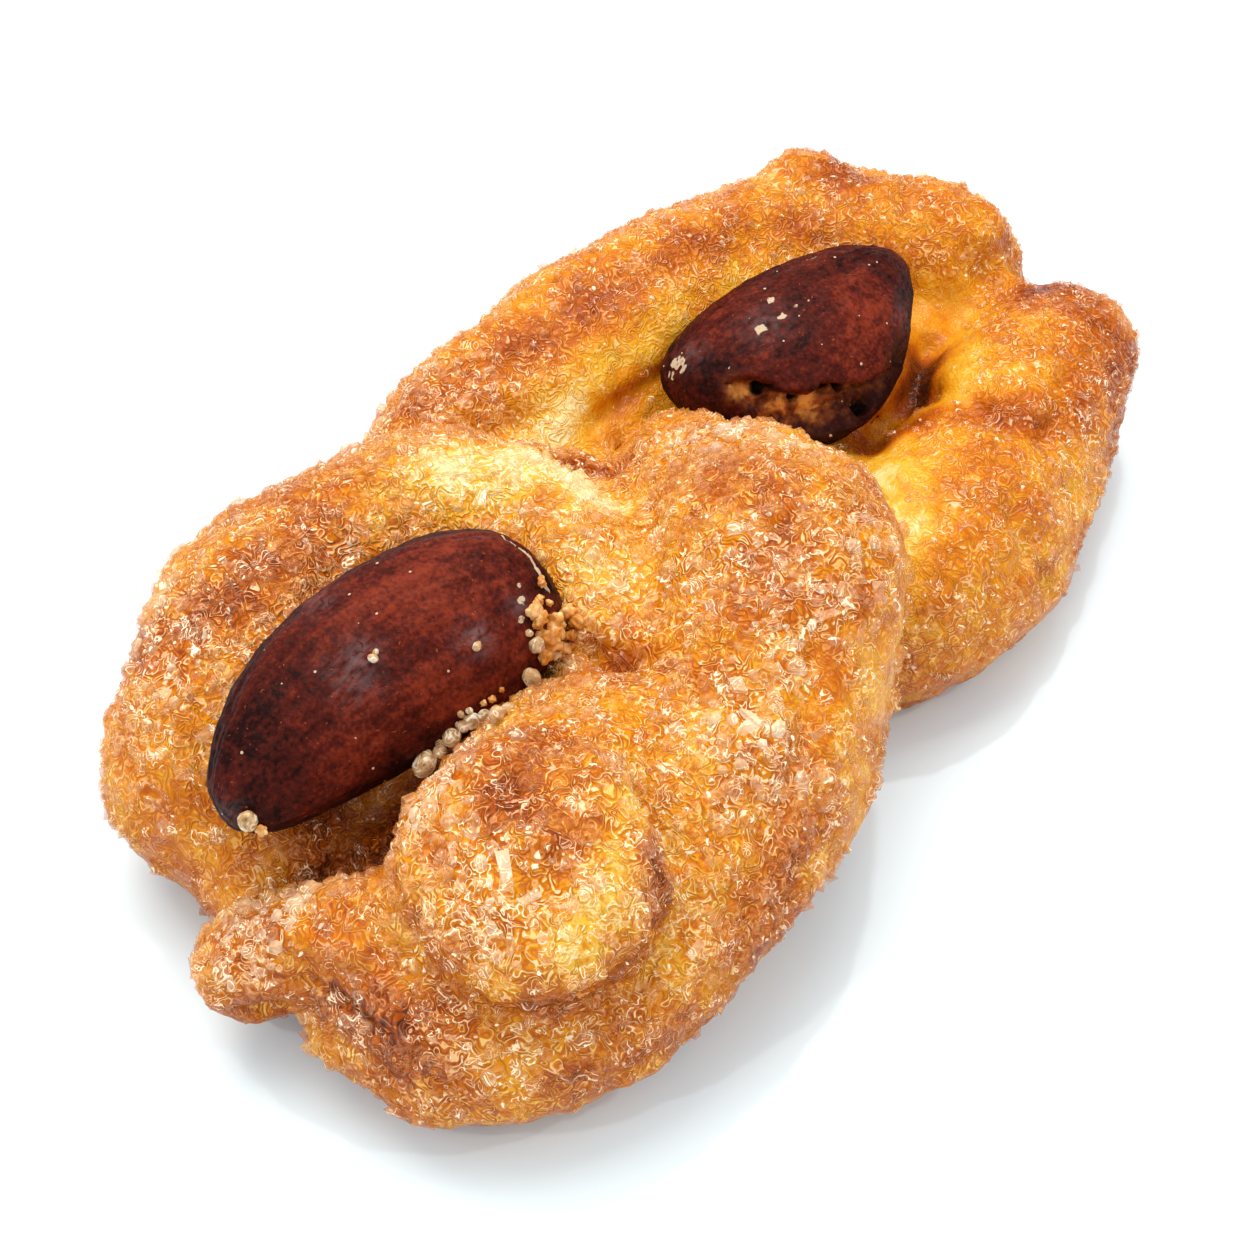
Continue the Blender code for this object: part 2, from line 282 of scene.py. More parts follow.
def cellsAt(place, size):
    # cells as far apart as the size in millimetres: how far from their middles, and three chance values
    cell = wires(addNode(treeOf(place), "ShaderNodeTexVoronoi", {"Vector": place, "Scale": 1.0 / mm / size}))
    chance = addNode(treeOf(place), "ShaderNodeSeparateColor", {"Color": cell["Color"]})
    return cell["Distance"], wires(chance)


def bumped(height, strength, depth):
    given = {"Height": height, "Strength": strength, "Distance": depth * mm}
    return wires(addNode(treeOf(height), "ShaderNodeBump", given))["Normal"]


def useGroup(group, **given):
    return wires(addNode(treeOf(*given.values()), "ShaderNodeGroup", given, node_tree=group))


# the dough

dough = {  # millimetres; a rope's station is its middle (x, y, z) and its radius there
    "ropes": {
        "farLeft": [(-16.1, -2.3, 5.0, 6.7), (-15.9, 4.3, 6.5, 7.4), (-14.0, 12.9, 7.0, 7.8),
                    (-11.3, 21.1, 7.6, 7.8), (-8.7, 27.7, 7.8, 7.6), (-5.3, 32.3, 7.8, 7.3),
                    (-1.3, 35.2, 7.4, 6.7), (2.3, 35.8, 7.4, 6.4)],
        "farRight": [(11.9, 33.4, 7.2, 5.5), (12.8, 29.2, 7.2, 6.5), (14.0, 22.6, 6.6, 7.1),
                     (14.8, 14.5, 6.0, 7.7), (13.5, 7.9, 5.5, 7.5), (9.7, 3.3, 5.5, 7.1),
                     (3.8, -0.8, 7.0, 7.1)],
        "nearLeft": [(0.3, -4.1, 12.0, 6.0), (-5.3, -5.8, 12.5, 6.4), (-10.8, -9.2, 11.8, 7.3),
                     (-14.2, -15.5, 10.8, 8.0), (-14.1, -23.2, 9.2, 8.3), (-12.4, -28.8, 7.2, 7.7),
                     (-7.8, -31.3, 5.0, 5.6)],
        "saddle": [(-3.2, -7.4, 13.0, 5.6), (1.8, -9.8, 13.6, 6.0), (6.4, -12.6, 13.4, 5.6),
                   (10.8, -16.4, 12.0, 6.0)],
        "nearRight": [(1.6, 1.7, 14.8, 4.8), (9.0, -1.7, 15.3, 8.2), (13.2, -8.4, 13.5, 8.6),
                      (14.8, -14.9, 10.5, 8.7), (14.3, -22.4, 8.5, 8.6), (12.8, -29.4, 7.5, 8.0),
                      (9.3, -34.2, 6.5, 7.3), (5.0, -35.7, 5.5, 5.4)],
        "knob": [(8.8, -17.4, 13.0, 5.2), (9.8, -22.4, 14.4, 5.4), (10.8, -27.4, 15.2, 5.2)],
        "pinchedLip": [(6.8, -33.8, 10.4, 4.0), (1.8, -36.4, 9.4, 3.5), (-2.2, -38.4, 7.2, 3.0)],
        "farFloor": [(-3.2, 8.1, 5.0, 5.4), (1.8, 19.6, 5.0, 5.8), (4.4, 27.2, 5.0, 5.0),
                     (2.2, 31.2, 4.8, 4.9)],
        "farWeb": [(-6.9, 2.6, 4.8, 5.2), (0.6, 4.1, 4.8, 5.2), (6.2, 8.1, 5.2, 5.4),
                   (9.2, 16.1, 5.0, 5.2)],
        "nearFloor": [(0.0, -15.4, 5.0, 5.8), (0.4, -21.4, 4.4, 5.6), (0.8, -28.4, 4.2, 5.6)],
    },
    "lobes": {  # middle, half sizes, tilt about X in degrees, how flat the top is
        "knobEnd": ((11.4, -30.0, 15.6), (7.6, 7.4, 4.9), 22.0, 0.6),
        "plateau": ((11.8, -18.9, 12.6), (6.0, 6.5, 5.4), 0.0, 1.0),
        "tip": ((-3.2, -38.9, 5.4), (3.3, 3.2, 3.5), 0.0, 1.0),
        "farPeak": ((-7.5, 33.1, 11.7), (4.6, 4.0, 4.0), 0.0, 0.8),
        "knobShoulder": ((7.4, -23.0, 14.0), (4.9, 5.4, 4.8), 0.0, 0.9),
        "farShoulder": ((1.6, 36.1, 9.2), (6.2, 5.0, 5.2), 0.0, 0.9),
        "farCorner": ((13.6, 32.9, 8.2), (4.6, 4.8, 4.6), 0.0, 0.8),
    },
    "folds": {  # stations, half width, depth; a ridge has a depth below 0
        "underKnob": ([(15.7, -25.0, 18.2), (17.4, -25.6, 15.2), (18.6, -28.2, 12.8), (18.8, -31.0, 11.2),
                        (17.7, -33.2, 10.4), (15.3, -35.6, 10.4), (11.8, -37.3, 11.0), (6.4, -37.0, 11.2)],
                       1.3, 1.7),
        "knobRim": ([(12.4, -26.2, 21.0), (16.2, -28.0, 19.9), (18.4, -30.0, 17.6), (18.0, -33.4, 14.8),
                      (13.8, -36.8, 13.8)], 1.2, -0.45),
        "knobDent": ([(14.2, -31.8, 19.6), (15.2, -32.8, 18.8)], 0.9, 0.5),
        "notch": ([(-4.4, -2.4, 17.8), (-2.9, -2.8, 17.3), (-0.8, -3.8, 16.8)], 1.5, 2.2),
        "saddleSeam": ([(-0.8, -3.8, 16.8), (3.1, -6.3, 17.9), (5.7, -9.0, 19.1),
                        (7.6, -12.8, 18.2)], 1.5, 0.7),
        "saddlePit": ([(6.0, -15.6, 17.0), (8.2, -16.0, 17.6)], 1.1, 2.6),
        "tornSeam": ([(17.6, -10.0, 20.5), (18.9, -12.6, 18.8), (20.3, -15.8, 17.2)], 0.9, 0.8),
        "sideEdge": ([(13.2, 2.0, 20.2), (17.4, -2.8, 18.6), (20.8, -9.2, 15.0), (21.8, -14.4, 12.6)],
                      1.2, -0.5),
        "underLip": ([(-0.8, -40.8, 5.0), (2.2, -40.8, 6.4), (6.0, -41.4, 7.4), (9.8, -42.0, 7.0)], 1.1, 0.9),
        "lipEdge": ([(-0.6, -39.0, 10.2), (4.1, -38.3, 12.0), (7.2, -37.8, 11.6)], 1.0, -0.6),
        "outerStep": ([(-21.9, -23.7, 8.5), (-19.5, -29.2, 11.0), (-14.6, -32.0, 12.6)], 1.1, 0.8),
        "farRidge": ([(-18.5, 4.3, 13.5), (-16.9, 12.0, 14.5), (-13.8, 18.1, 15.5), (-10.6, 25.2, 15.3),
                       (-8.2, 32.1, 15.4)], 2.2, -0.6),
        "farLeftPit": ([(-14.0, 0.4, 12.5), (-12.3, 2.8, 12.3)], 1.5, 1.6),
        "farWrinkle": ([(8.4, 21.8, 10.2), (14.0, 19.6, 13.4), (18.0, 20.6, 12.5)], 1.0, 0.9),
        "farCrack": ([(19.0, 13.0, 12.1), (21.5, 12.3, 10.0), (22.7, 13.0, 6.0)], 0.8, 0.8),
        "farJoin": ([(8.9, 39.8, 9.0), (7.9, 35.8, 13.1), (5.7, 33.5, 10.0), (4.8, 32.1, 6.0)], 1.4, 1.6),
    },
    "stepsBetweenStations": 6,
    "capRings": 6,
    "capTurn": 88,  # degrees, a little short of a whole quarter so that the tip keeps a ring
    "blendVoxel": 0.8,
    "blendPasses": 3,
    "risenLumps": [(11.0, 0.9), (4.5, 0.45), (2.1, 0.3)],  # wavelength, height
    "lumpOrigin": (2.8, -7.4, 0.0),
    "fineFolds": {  # the small creases and torn edges that only the baked crust has
        "nearBackEdge": ([(-20.8, -27.0, 12.4), (-21.6, -22.6, 12.8), (-20.6, -17.6, 13.6)], 0.5, 0.35),
        "tearTop": ([(17.8, -9.6, 20.8), (18.6, -12.0, 19.4), (19.6, -14.8, 17.8),
                     (20.4, -17.6, 16.4)], 0.45, 0.55),
        "tearLow": ([(19.2, -10.6, 17.2), (20.3, -13.6, 15.2), (20.8, -16.4, 13.8)], 0.5, 0.4),
        "wallStep": ([(17.6, -1.2, 17.2), (20.4, -6.2, 15.4), (21.6, -10.8, 12.8)], 0.5, 0.25),
        "ledge": ([(2.2, -39.6, 9.2), (6.4, -40.4, 9.4), (10.4, -40.6, 9.0)], 0.6, 0.45),
        "farCrackMouth": ([(20.4, 12.2, 11.6), (21.6, 12.6, 9.6), (22.2, 13.4, 7.0)], 0.4, 0.5),
        "farCrevice": ([(5.4, 27.4, 9.4), (6.2, 24.9, 9.4), (7.0, 21.6, 8.8), (6.8, 18.4, 8.8),
                        (7.2, 15.8, 9.2)], 0.9, 1.5),
        "notch": ([(-5.2, -3.6, 16.6), (-3.6, -1.8, 16.0), (-2.0, -0.4, 16.6)], 0.7, 0.9),
        "farLeftEdge": ([(-8.6, 6.6, 11.0), (-7.8, 10.5, 11.2), (-7.4, 14.0, 11.0)], 0.7, 0.6),
        "wrinkleTop": ([(9.8, 15.6, 12.4), (12.4, 18.0, 12.8), (15.6, 19.2, 12.8)], 0.6, 0.55),
        "wrinkleLow": ([(10.8, 18.6, 12.2), (13.6, 20.6, 12.4), (17.4, 21.8, 12.0)], 0.5, 0.45),
        "saddlePits": ([(5.4, -15.4, 16.9), (6.6, -15.9, 16.7), (8.0, -16.0, 16.8)], 0.55, 0.8),
        "knobCrease": ([(12.0, -24.0, 20.4), (15.0, -24.8, 19.4), (17.4, -26.4, 17.0)], 0.6, 0.4),
    },
    "crustGrain": [(1.5, 0.16), (0.85, 0.12)],
    "bedGap": 0.06,
}


def ropeMesh(name, stations):
    # a rope of dough with half a ball on each end, swept along its stations
    body = smoothRun(stations, dough["stepsBetweenStations"])

    def cap(middle, beside):
        outward = (middle[:3] - beside[:3]) / np.linalg.norm(middle[:3] - beside[:3])
        turns = np.radians(dough["capTurn"]) * np.arange(1, dough["capRings"] + 1) / dough["capRings"]
        ring = []
        for turn in turns:
            ring.append([*(middle[:3] + outward * middle[3] * math.sin(turn)), middle[3] * math.cos(turn)])
        return np.array(ring)

    rings = np.vstack([cap(body[0], body[1])[::-1], body, cap(body[-1], body[-2])])
    curve = bpy.data.curves.new(name, "CURVE")
    curve.dimensions = "3D"
    curve.bevel_depth = mm
    curve.bevel_resolution = 6
    curve.use_fill_caps = True
    line = curve.splines.new("POLY")
    line.points.add(len(rings) - 1)
    for point, (x, y, z, radius) in zip(line.points, rings):
        point.co = (x * mm, y * mm, z * mm, 1.0)
        point.radius = radius
    rope = addObject(name, curve)
    mesh = finishedMesh(rope)
    bpy.data.objects.remove(rope)
    return mesh


def addLobe(shape, middle, halfSizes, tilt, flatness):
    ball = bmesh.ops.create_uvsphere(shape, u_segments=32, v_segments=16, radius=1.0)["verts"]
    for vertex in ball:
        vertex.co.z = math.copysign(abs(vertex.co.z) ** flatness, vertex.co.z)
    bmesh.ops.scale(shape, verts=ball, vec=Vector(halfSizes) * mm)
    bmesh.ops.rotate(shape, verts=ball, cent=(0, 0, 0), matrix=Matrix.Rotation(math.radians(tilt), 3, "X"))
    bmesh.ops.translate(shape, verts=ball, vec=Vector(middle) * mm)


def risenDough():
    # the ropes and lobes baked together, then raised by lumps and pulled in by folds
    shape = bmesh.new()
    for name, stations in dough["ropes"].items():
        shape.from_mesh(ropeMesh(name, stations))
    for lobe in dough["lobes"].values():
        addLobe(shape, *lobe)
    bmesh.ops.remove_doubles(shape, verts=shape.verts, dist=1e-6)
    crust = addObject("crust", meshFrom(shape, "crust"))
    blend = crust.modifiers.new("baked together", "REMESH")
    blend.mode = "VOXEL"
    blend.voxel_size = dough["blendVoxel"] * mm
    soften = crust.modifiers.new("soft folds", "SMOOTH")
    soften.iterations = dough["blendPasses"]
    soften.factor = 0.5
    finer = crust.modifiers.new("finer", "SUBSURF")
    finer.levels = finer.render_levels = 1
    applyModifiers(crust)

    places = readPoints(crust.data) / mm
    normals = readPoints(crust.data, "normal")
    rise = lumps(places, dough["risenLumps"], dough["lumpOrigin"]) - strokes(places, dough["folds"])
    places += normals * rise[:, None]
    places[:, 2] = np.maximum(places[:, 2], 0.0)  # flat where it lay on the tray
    writePoints(crust.data, places * mm)
    print("dough risen:", len(places), "points")
    return crust


# the almonds

almonds = {  # millimetres; blunt end, tip, the way the broad face looks, size along, across and through
    "almond_near": {
        "blunt": (0.85, -12.9, 18.9), "tip": (-7.55, -35.6, 15.9), "faces": (0.48, -0.46, 1.0),
        "size": (23.6, 11.8, 8.3), "bend": 1.15, "sway": 0.8, "taper": 0.13, "waist": -0.13,
        "fullness": 0.88, "crack": 0.0, "tone": 0.50, "seed": 3.7,
        # marks: where along (-1 blunt to 1 tip), turn in degrees, reach in millimetres, strength
        "lip": [], "holes": [], "kernel": [],
        "scuffs": [(-0.72, 78, 0.35, 0.9), (-0.66, 66, 0.3, 0.9), (-0.76, 86, 0.25, 0.8)],
        "smears": [(0.12, 97, 1.1, 1.0), (0.22, 92, 1.5, 0.7), (-0.40, 72, 1.0, 0.9), (0.10, 152, 1.1, 0.6),
                   (-0.70, 76, 0.8, 0.6), (0.97, 60, 1.0, 0.5)],
        "peeled": [(-0.885, 150), (-0.90, 127), (-0.93, 112), (-0.92, 92), (-0.90, 76), (-0.91, 66)],
        "dark": [(0.80, 140, 4.2, 0.8), (0.95, 80, 3.0, 0.7), (-0.93, 80, 1.6, 0.9), (0.20, 10, 3.0, 0.8)],
        "red": [(-0.25, 112, 3.2, 0.7), (-0.10, 64, 2.6, 0.5), (0.30, 50, 2.6, 0.4)],
    },
    "almond_far": {
        "blunt": (-1.86, 9.89, 12.38), "tip": (2.45, 26.43, 14.92), "faces": (0.12, -0.41, 1.0),
        "size": (19.1, 13.0, 8.6), "bend": 2.1, "sway": -0.87, "taper": 0.17, "waist": 0.06,
        "fullness": 1.03, "crack": 2.2, "tone": 0.42, "seed": 8.2,
        "lip": [(-0.82, 100), (-0.66, 104), (-0.59, 114), (-0.56, 123), (-0.49, 127), (-0.38, 132),
                (-0.31, 129), (-0.18, 137), (-0.03, 145), (0.12, 153), (0.33, 160), (0.50, 168)],
        "holes": [(-0.60, 119, 0.55, 1.0), (0.35, 164, 0.5, 1.0), (-0.09, 174, 0.7, 1.0),
                  (-0.24, 139, 0.4, 1.0), (-0.46, 141, 0.35, 1.0), (-0.12, 151, 0.5, 1.0)],
        "kernel": [(-0.73, 113, 0.9, 1.0), (-0.38, 153, 1.0, 0.9), (-0.55, 148, 0.7, 0.6),
                   (0.06, 168, 0.8, 0.4)],
        "scuffs": [(-0.18, 80, 0.45, 1.0), (-0.12, 65, 0.38, 0.9), (-0.33, 81, 0.55, 0.8),
                   (-0.39, 79, 0.5, 0.75), (-0.06, 79, 0.3, 0.75), (0.04, 81, 0.25, 0.7),
                   (-0.86, 56, 0.9, 0.9), (-0.91, 47, 0.7, 0.9), (-0.69, 91, 0.35, 1.0),
                   (0.42, 43, 0.5, 0.9), (0.25, 72, 0.2, 0.9), (0.33, 76, 0.18, 0.9)],
        "smears": [(-0.30, 78, 1.4, 0.6), (-0.80, 60, 1.2, 0.4), (0.62, 150, 1.4, 0.4)],
        "peeled": [],
        "dark": [(0.80, 140, 2.4, 0.9), (-0.85, 90, 3.0, 0.5), (-0.1, 110, 3.4, 0.35), (0.35, 150, 1.6, 0.6)],
        "red": [(0.30, 110, 3.2, 0.8), (-0.05, 125, 2.0, 0.4)],
    },
}
almondForm = {
    "sides": 200,
    "rings": 120,
    "bedSides": 96,
    "bedRings": 64,
    "beak": 0.06,
    "lipWidth": 4,  # this and the next two in degrees round the nut
    "crackTo": 180,
    "crackFade": 14,
    "lipRagged": [(8.5, 2.6), (23.0, 1.3)],  # fineness along the nut, swing in degrees
    "lipEnds": (0.12, 0.14),  # how gently the crack starts and ends, along the nut
    "veins": [(2.4, 0.6, 0.07), (6.0, 1.4, 0.055), (13.0, 3.4, 0.03)],  # round, along, height
    "veinCrest": (0.55, 2.4),
    "leather": [(1.5, 0.08), (0.7, 0.05), (0.4, 0.03)],
    "tornRough": [(2.0, 0.6), (0.9, 0.45)],
    "kernelRise": 0.5,
    "holeDepth": 0.9,
    "holeEdge": (0.3, 0.6),
    "flakes": (1.6, 3.4, 3.4),  # how fine the flaking is along, across and through
    "peelRagged": [(0.9, 0.16), (0.4, 0.08)],
    "peelWidth": 0.13,
    "peelStep": (0.12, 0.15, 0.12),  # how deep, how far from the line, how wide
    "shadedSides": (0.35, 52.0, 88.0, 92.0),  # painted shade on the nut's flanks and underside: how much darker, from and to how far off the top, the top's turn
}


def almondPlaces(ball, form, extra=0.0):
    # the nut's form from the points of a unit ball, its length on X, in millimetres
    along, across, up = ball.T
    length, width, thickness = (side / 2 + extra for side in form["size"])
    ring = np.maximum(np.hypot(across, up), 1e-6)
    swelling = ring ** (form["fullness"] - 1.0) * (1.0 - form["taper"] * along - form["waist"] * along ** 2)
    turn = np.degrees(np.arctan2(up, across))
    torn = np.zeros(len(ball))
    if form["lip"]:  # below this ragged line the skin and some of the kernel are gone
        where, angle = np.array(form["lip"], float).T
        edge = np.interp(along, where, angle)
        for fineness, swing in almondForm["lipRagged"]:
            edge += swing * np.array([noise.noise(Vector((a * fineness, 4.1, 0.0))) for a in along])
        torn = np.clip((turn - edge) / almondForm["lipWidth"], 0.0, 1.0)
        torn *= np.clip((almondForm["crackTo"] - turn) / almondForm["crackFade"], 0.0, 1.0)
        start, end = almondForm["lipEnds"]
        torn *= smoothStep(where[0], where[0] + start, along)
        torn *= 1.0 - smoothStep(where[-1] - end, where[-1], along)
    swelling = swelling * (1.0 - form["crack"] / width * torn)
    beak = almondForm["beak"] * np.maximum(along, 0.0) ** 6
    places = np.stack([
        (along + beak) * length,
        across * swelling * width + form["bend"] * (along ** 2 - 0.3) + form["sway"] * along ** 3,
        up * swelling * thickness,
    ], axis=1)
    return places, turn, torn


def almondStand(form):
    # the matrix that lays an almond in its bed
    blunt, tip, faces = (Vector(form[key]) for key in ("blunt", "tip", "faces"))
    lengthWay = (tip - blunt).normalized()
    sideWay = faces.cross(lengthWay).normalized()
    faceWay = lengthWay.cross(sideWay)
    turn = Matrix((lengthWay, sideWay, faceWay)).transposed().to_4x4()
    return Matrix.Translation((blunt + tip) / 2) @ turn


def ballMesh(name, sides, rings):
    shape = bmesh.new()
    bmesh.ops.create_uvsphere(shape, u_segments=sides, v_segments=rings, radius=1.0)
    bmesh.ops.rotate(shape, verts=shape.verts, cent=(0, 0, 0), matrix=Matrix.Rotation(math.pi / 2, 3, "Y"))
    return meshFrom(shape, name)


def laid(places, form):
    stand = np.array(almondStand(form))
    return (places @ stand[:3, :3].T + stand[:3, 3]) * mm


def almondBed(name, form):
    mesh = ballMesh(name, almondForm["bedSides"], almondForm["bedRings"])
    places, _, _ = almondPlaces(readPoints(mesh), form, extra=dough["bedGap"])
    writePoints(mesh, laid(places, form))
    return addObject(name, mesh)


def placeAt(places, along, turn, where, angle):
    # the point of the nut nearest to a place along it and a turn round it
    return places[np.argmin((along - where) ** 2 + np.radians(turn - angle) ** 2)]


def marked(places, along, turn, marks):
    # the strongest of some soft round marks
    field = np.zeros(len(places))
    for where, angle, reach, strength in marks:
        away = np.linalg.norm(places - placeAt(places, along, turn, where, angle), axis=1)
        field = np.maximum(field, strength * np.exp(-(away / reach) ** 2))
    return field


def roastedAlmond(name, form):
    mesh = ballMesh(name, almondForm["sides"], almondForm["rings"])
    ball = readPoints(mesh)
    places, turn, torn = almondPlaces(ball, form)
    nut = addObject(name.replace("_", " ").title().replace(" ", ""), mesh)
    writePoints(mesh, places * mm)
    normals = readPoints(mesh, "normal")

    # lengthwise veins: noise that changes fast round the nut and slowly along it
    along = ball[:, 0]
    radians = np.radians(turn)
    seed = form["seed"]
    veins = np.zeros(len(ball))
    crest, sharpness = almondForm["veinCrest"]
    for around, lengthwise, height in almondForm["veins"]:
        across, up = np.cos(radians) * around + seed, np.sin(radians) * around
        at = np.stack([across, up, along * lengthwise + seed], axis=1)
        field = np.array([noise.noise(Vector(p)) for p in at])
        veins += height * (crest - np.abs(field) * sharpness)
    ends = np.hypot(ball[:, 1], ball[:, 2]) ** 0.6  # veins run together and fade at the ends
    relief = (veins * ends + lumps(places, almondForm["leather"], (seed, 2.0, 0.0))) * (1.0 - torn)

    # the torn side shows the rough inside, with small holes dented in and coloured near black
    relief += torn * lumps(places, almondForm["tornRough"], (seed, 0.0, 0.0))
    marks = {kind: marked(places, along, turn, form[kind])
             for kind in ("kernel", "holes", "scuffs", "smears", "red", "dark")}
    relief += almondForm["kernelRise"] * marks["kernel"]
    hole = smoothStep(*almondForm["holeEdge"], marks["holes"])
    relief -= almondForm["holeDepth"] * hole

    flaky = np.array([noise.noise(Vector(p)) for p in places * np.array(almondForm["flakes"])])
    scuff = marks["scuffs"] * (0.75 + 1.3 * flaky)
    if form["peeled"]:
        line = [placeAt(places, along, turn, where, angle) for where, angle in form["peeled"]]
        away = distanceToRun(places, np.array(line)) + lumps(places, almondForm["peelRagged"])
        scuff = np.maximum(scuff, np.exp(-(away / almondForm["peelWidth"]) ** 2) * 0.9)
        depth, off, width = almondForm["peelStep"]
        relief -= depth * np.exp(-((away - off) / width) ** 2)
    # painted shade: the flanks and underside of the nut are made darker than its top
    darker, fromTurn, toTurn, top = almondForm["shadedSides"]
    tone = form["tone"] + 0.5 * marks["red"] - 0.5 * marks["dark"]
    tone -= darker * smoothStep(fromTurn, toTurn, np.abs(turn - top))

    writePoints(mesh, laid(places + normals * relief[:, None], form))
    paint(mesh, "vein", veins * ends)
    paint(mesh, "skinTone", tone)
    paint(mesh, "torn", torn)
    paint(mesh, "kernel", np.clip(marks["kernel"], 0.0, 1.0))
    paint(mesh, "hole", hole)
    paint(mesh, "scuff", np.clip(scuff, 0.0, 1.0))
    paint(mesh, "smear", marks["smears"] * np.clip(0.6 + 1.6 * flaky, 0.0, 1.0))
    paint(mesh, "nutPlace", places, "FLOAT_VECTOR")
    mesh.shade_smooth()
    print(nut.name, "formed:", len(mesh.polygons), "faces")
    return nut
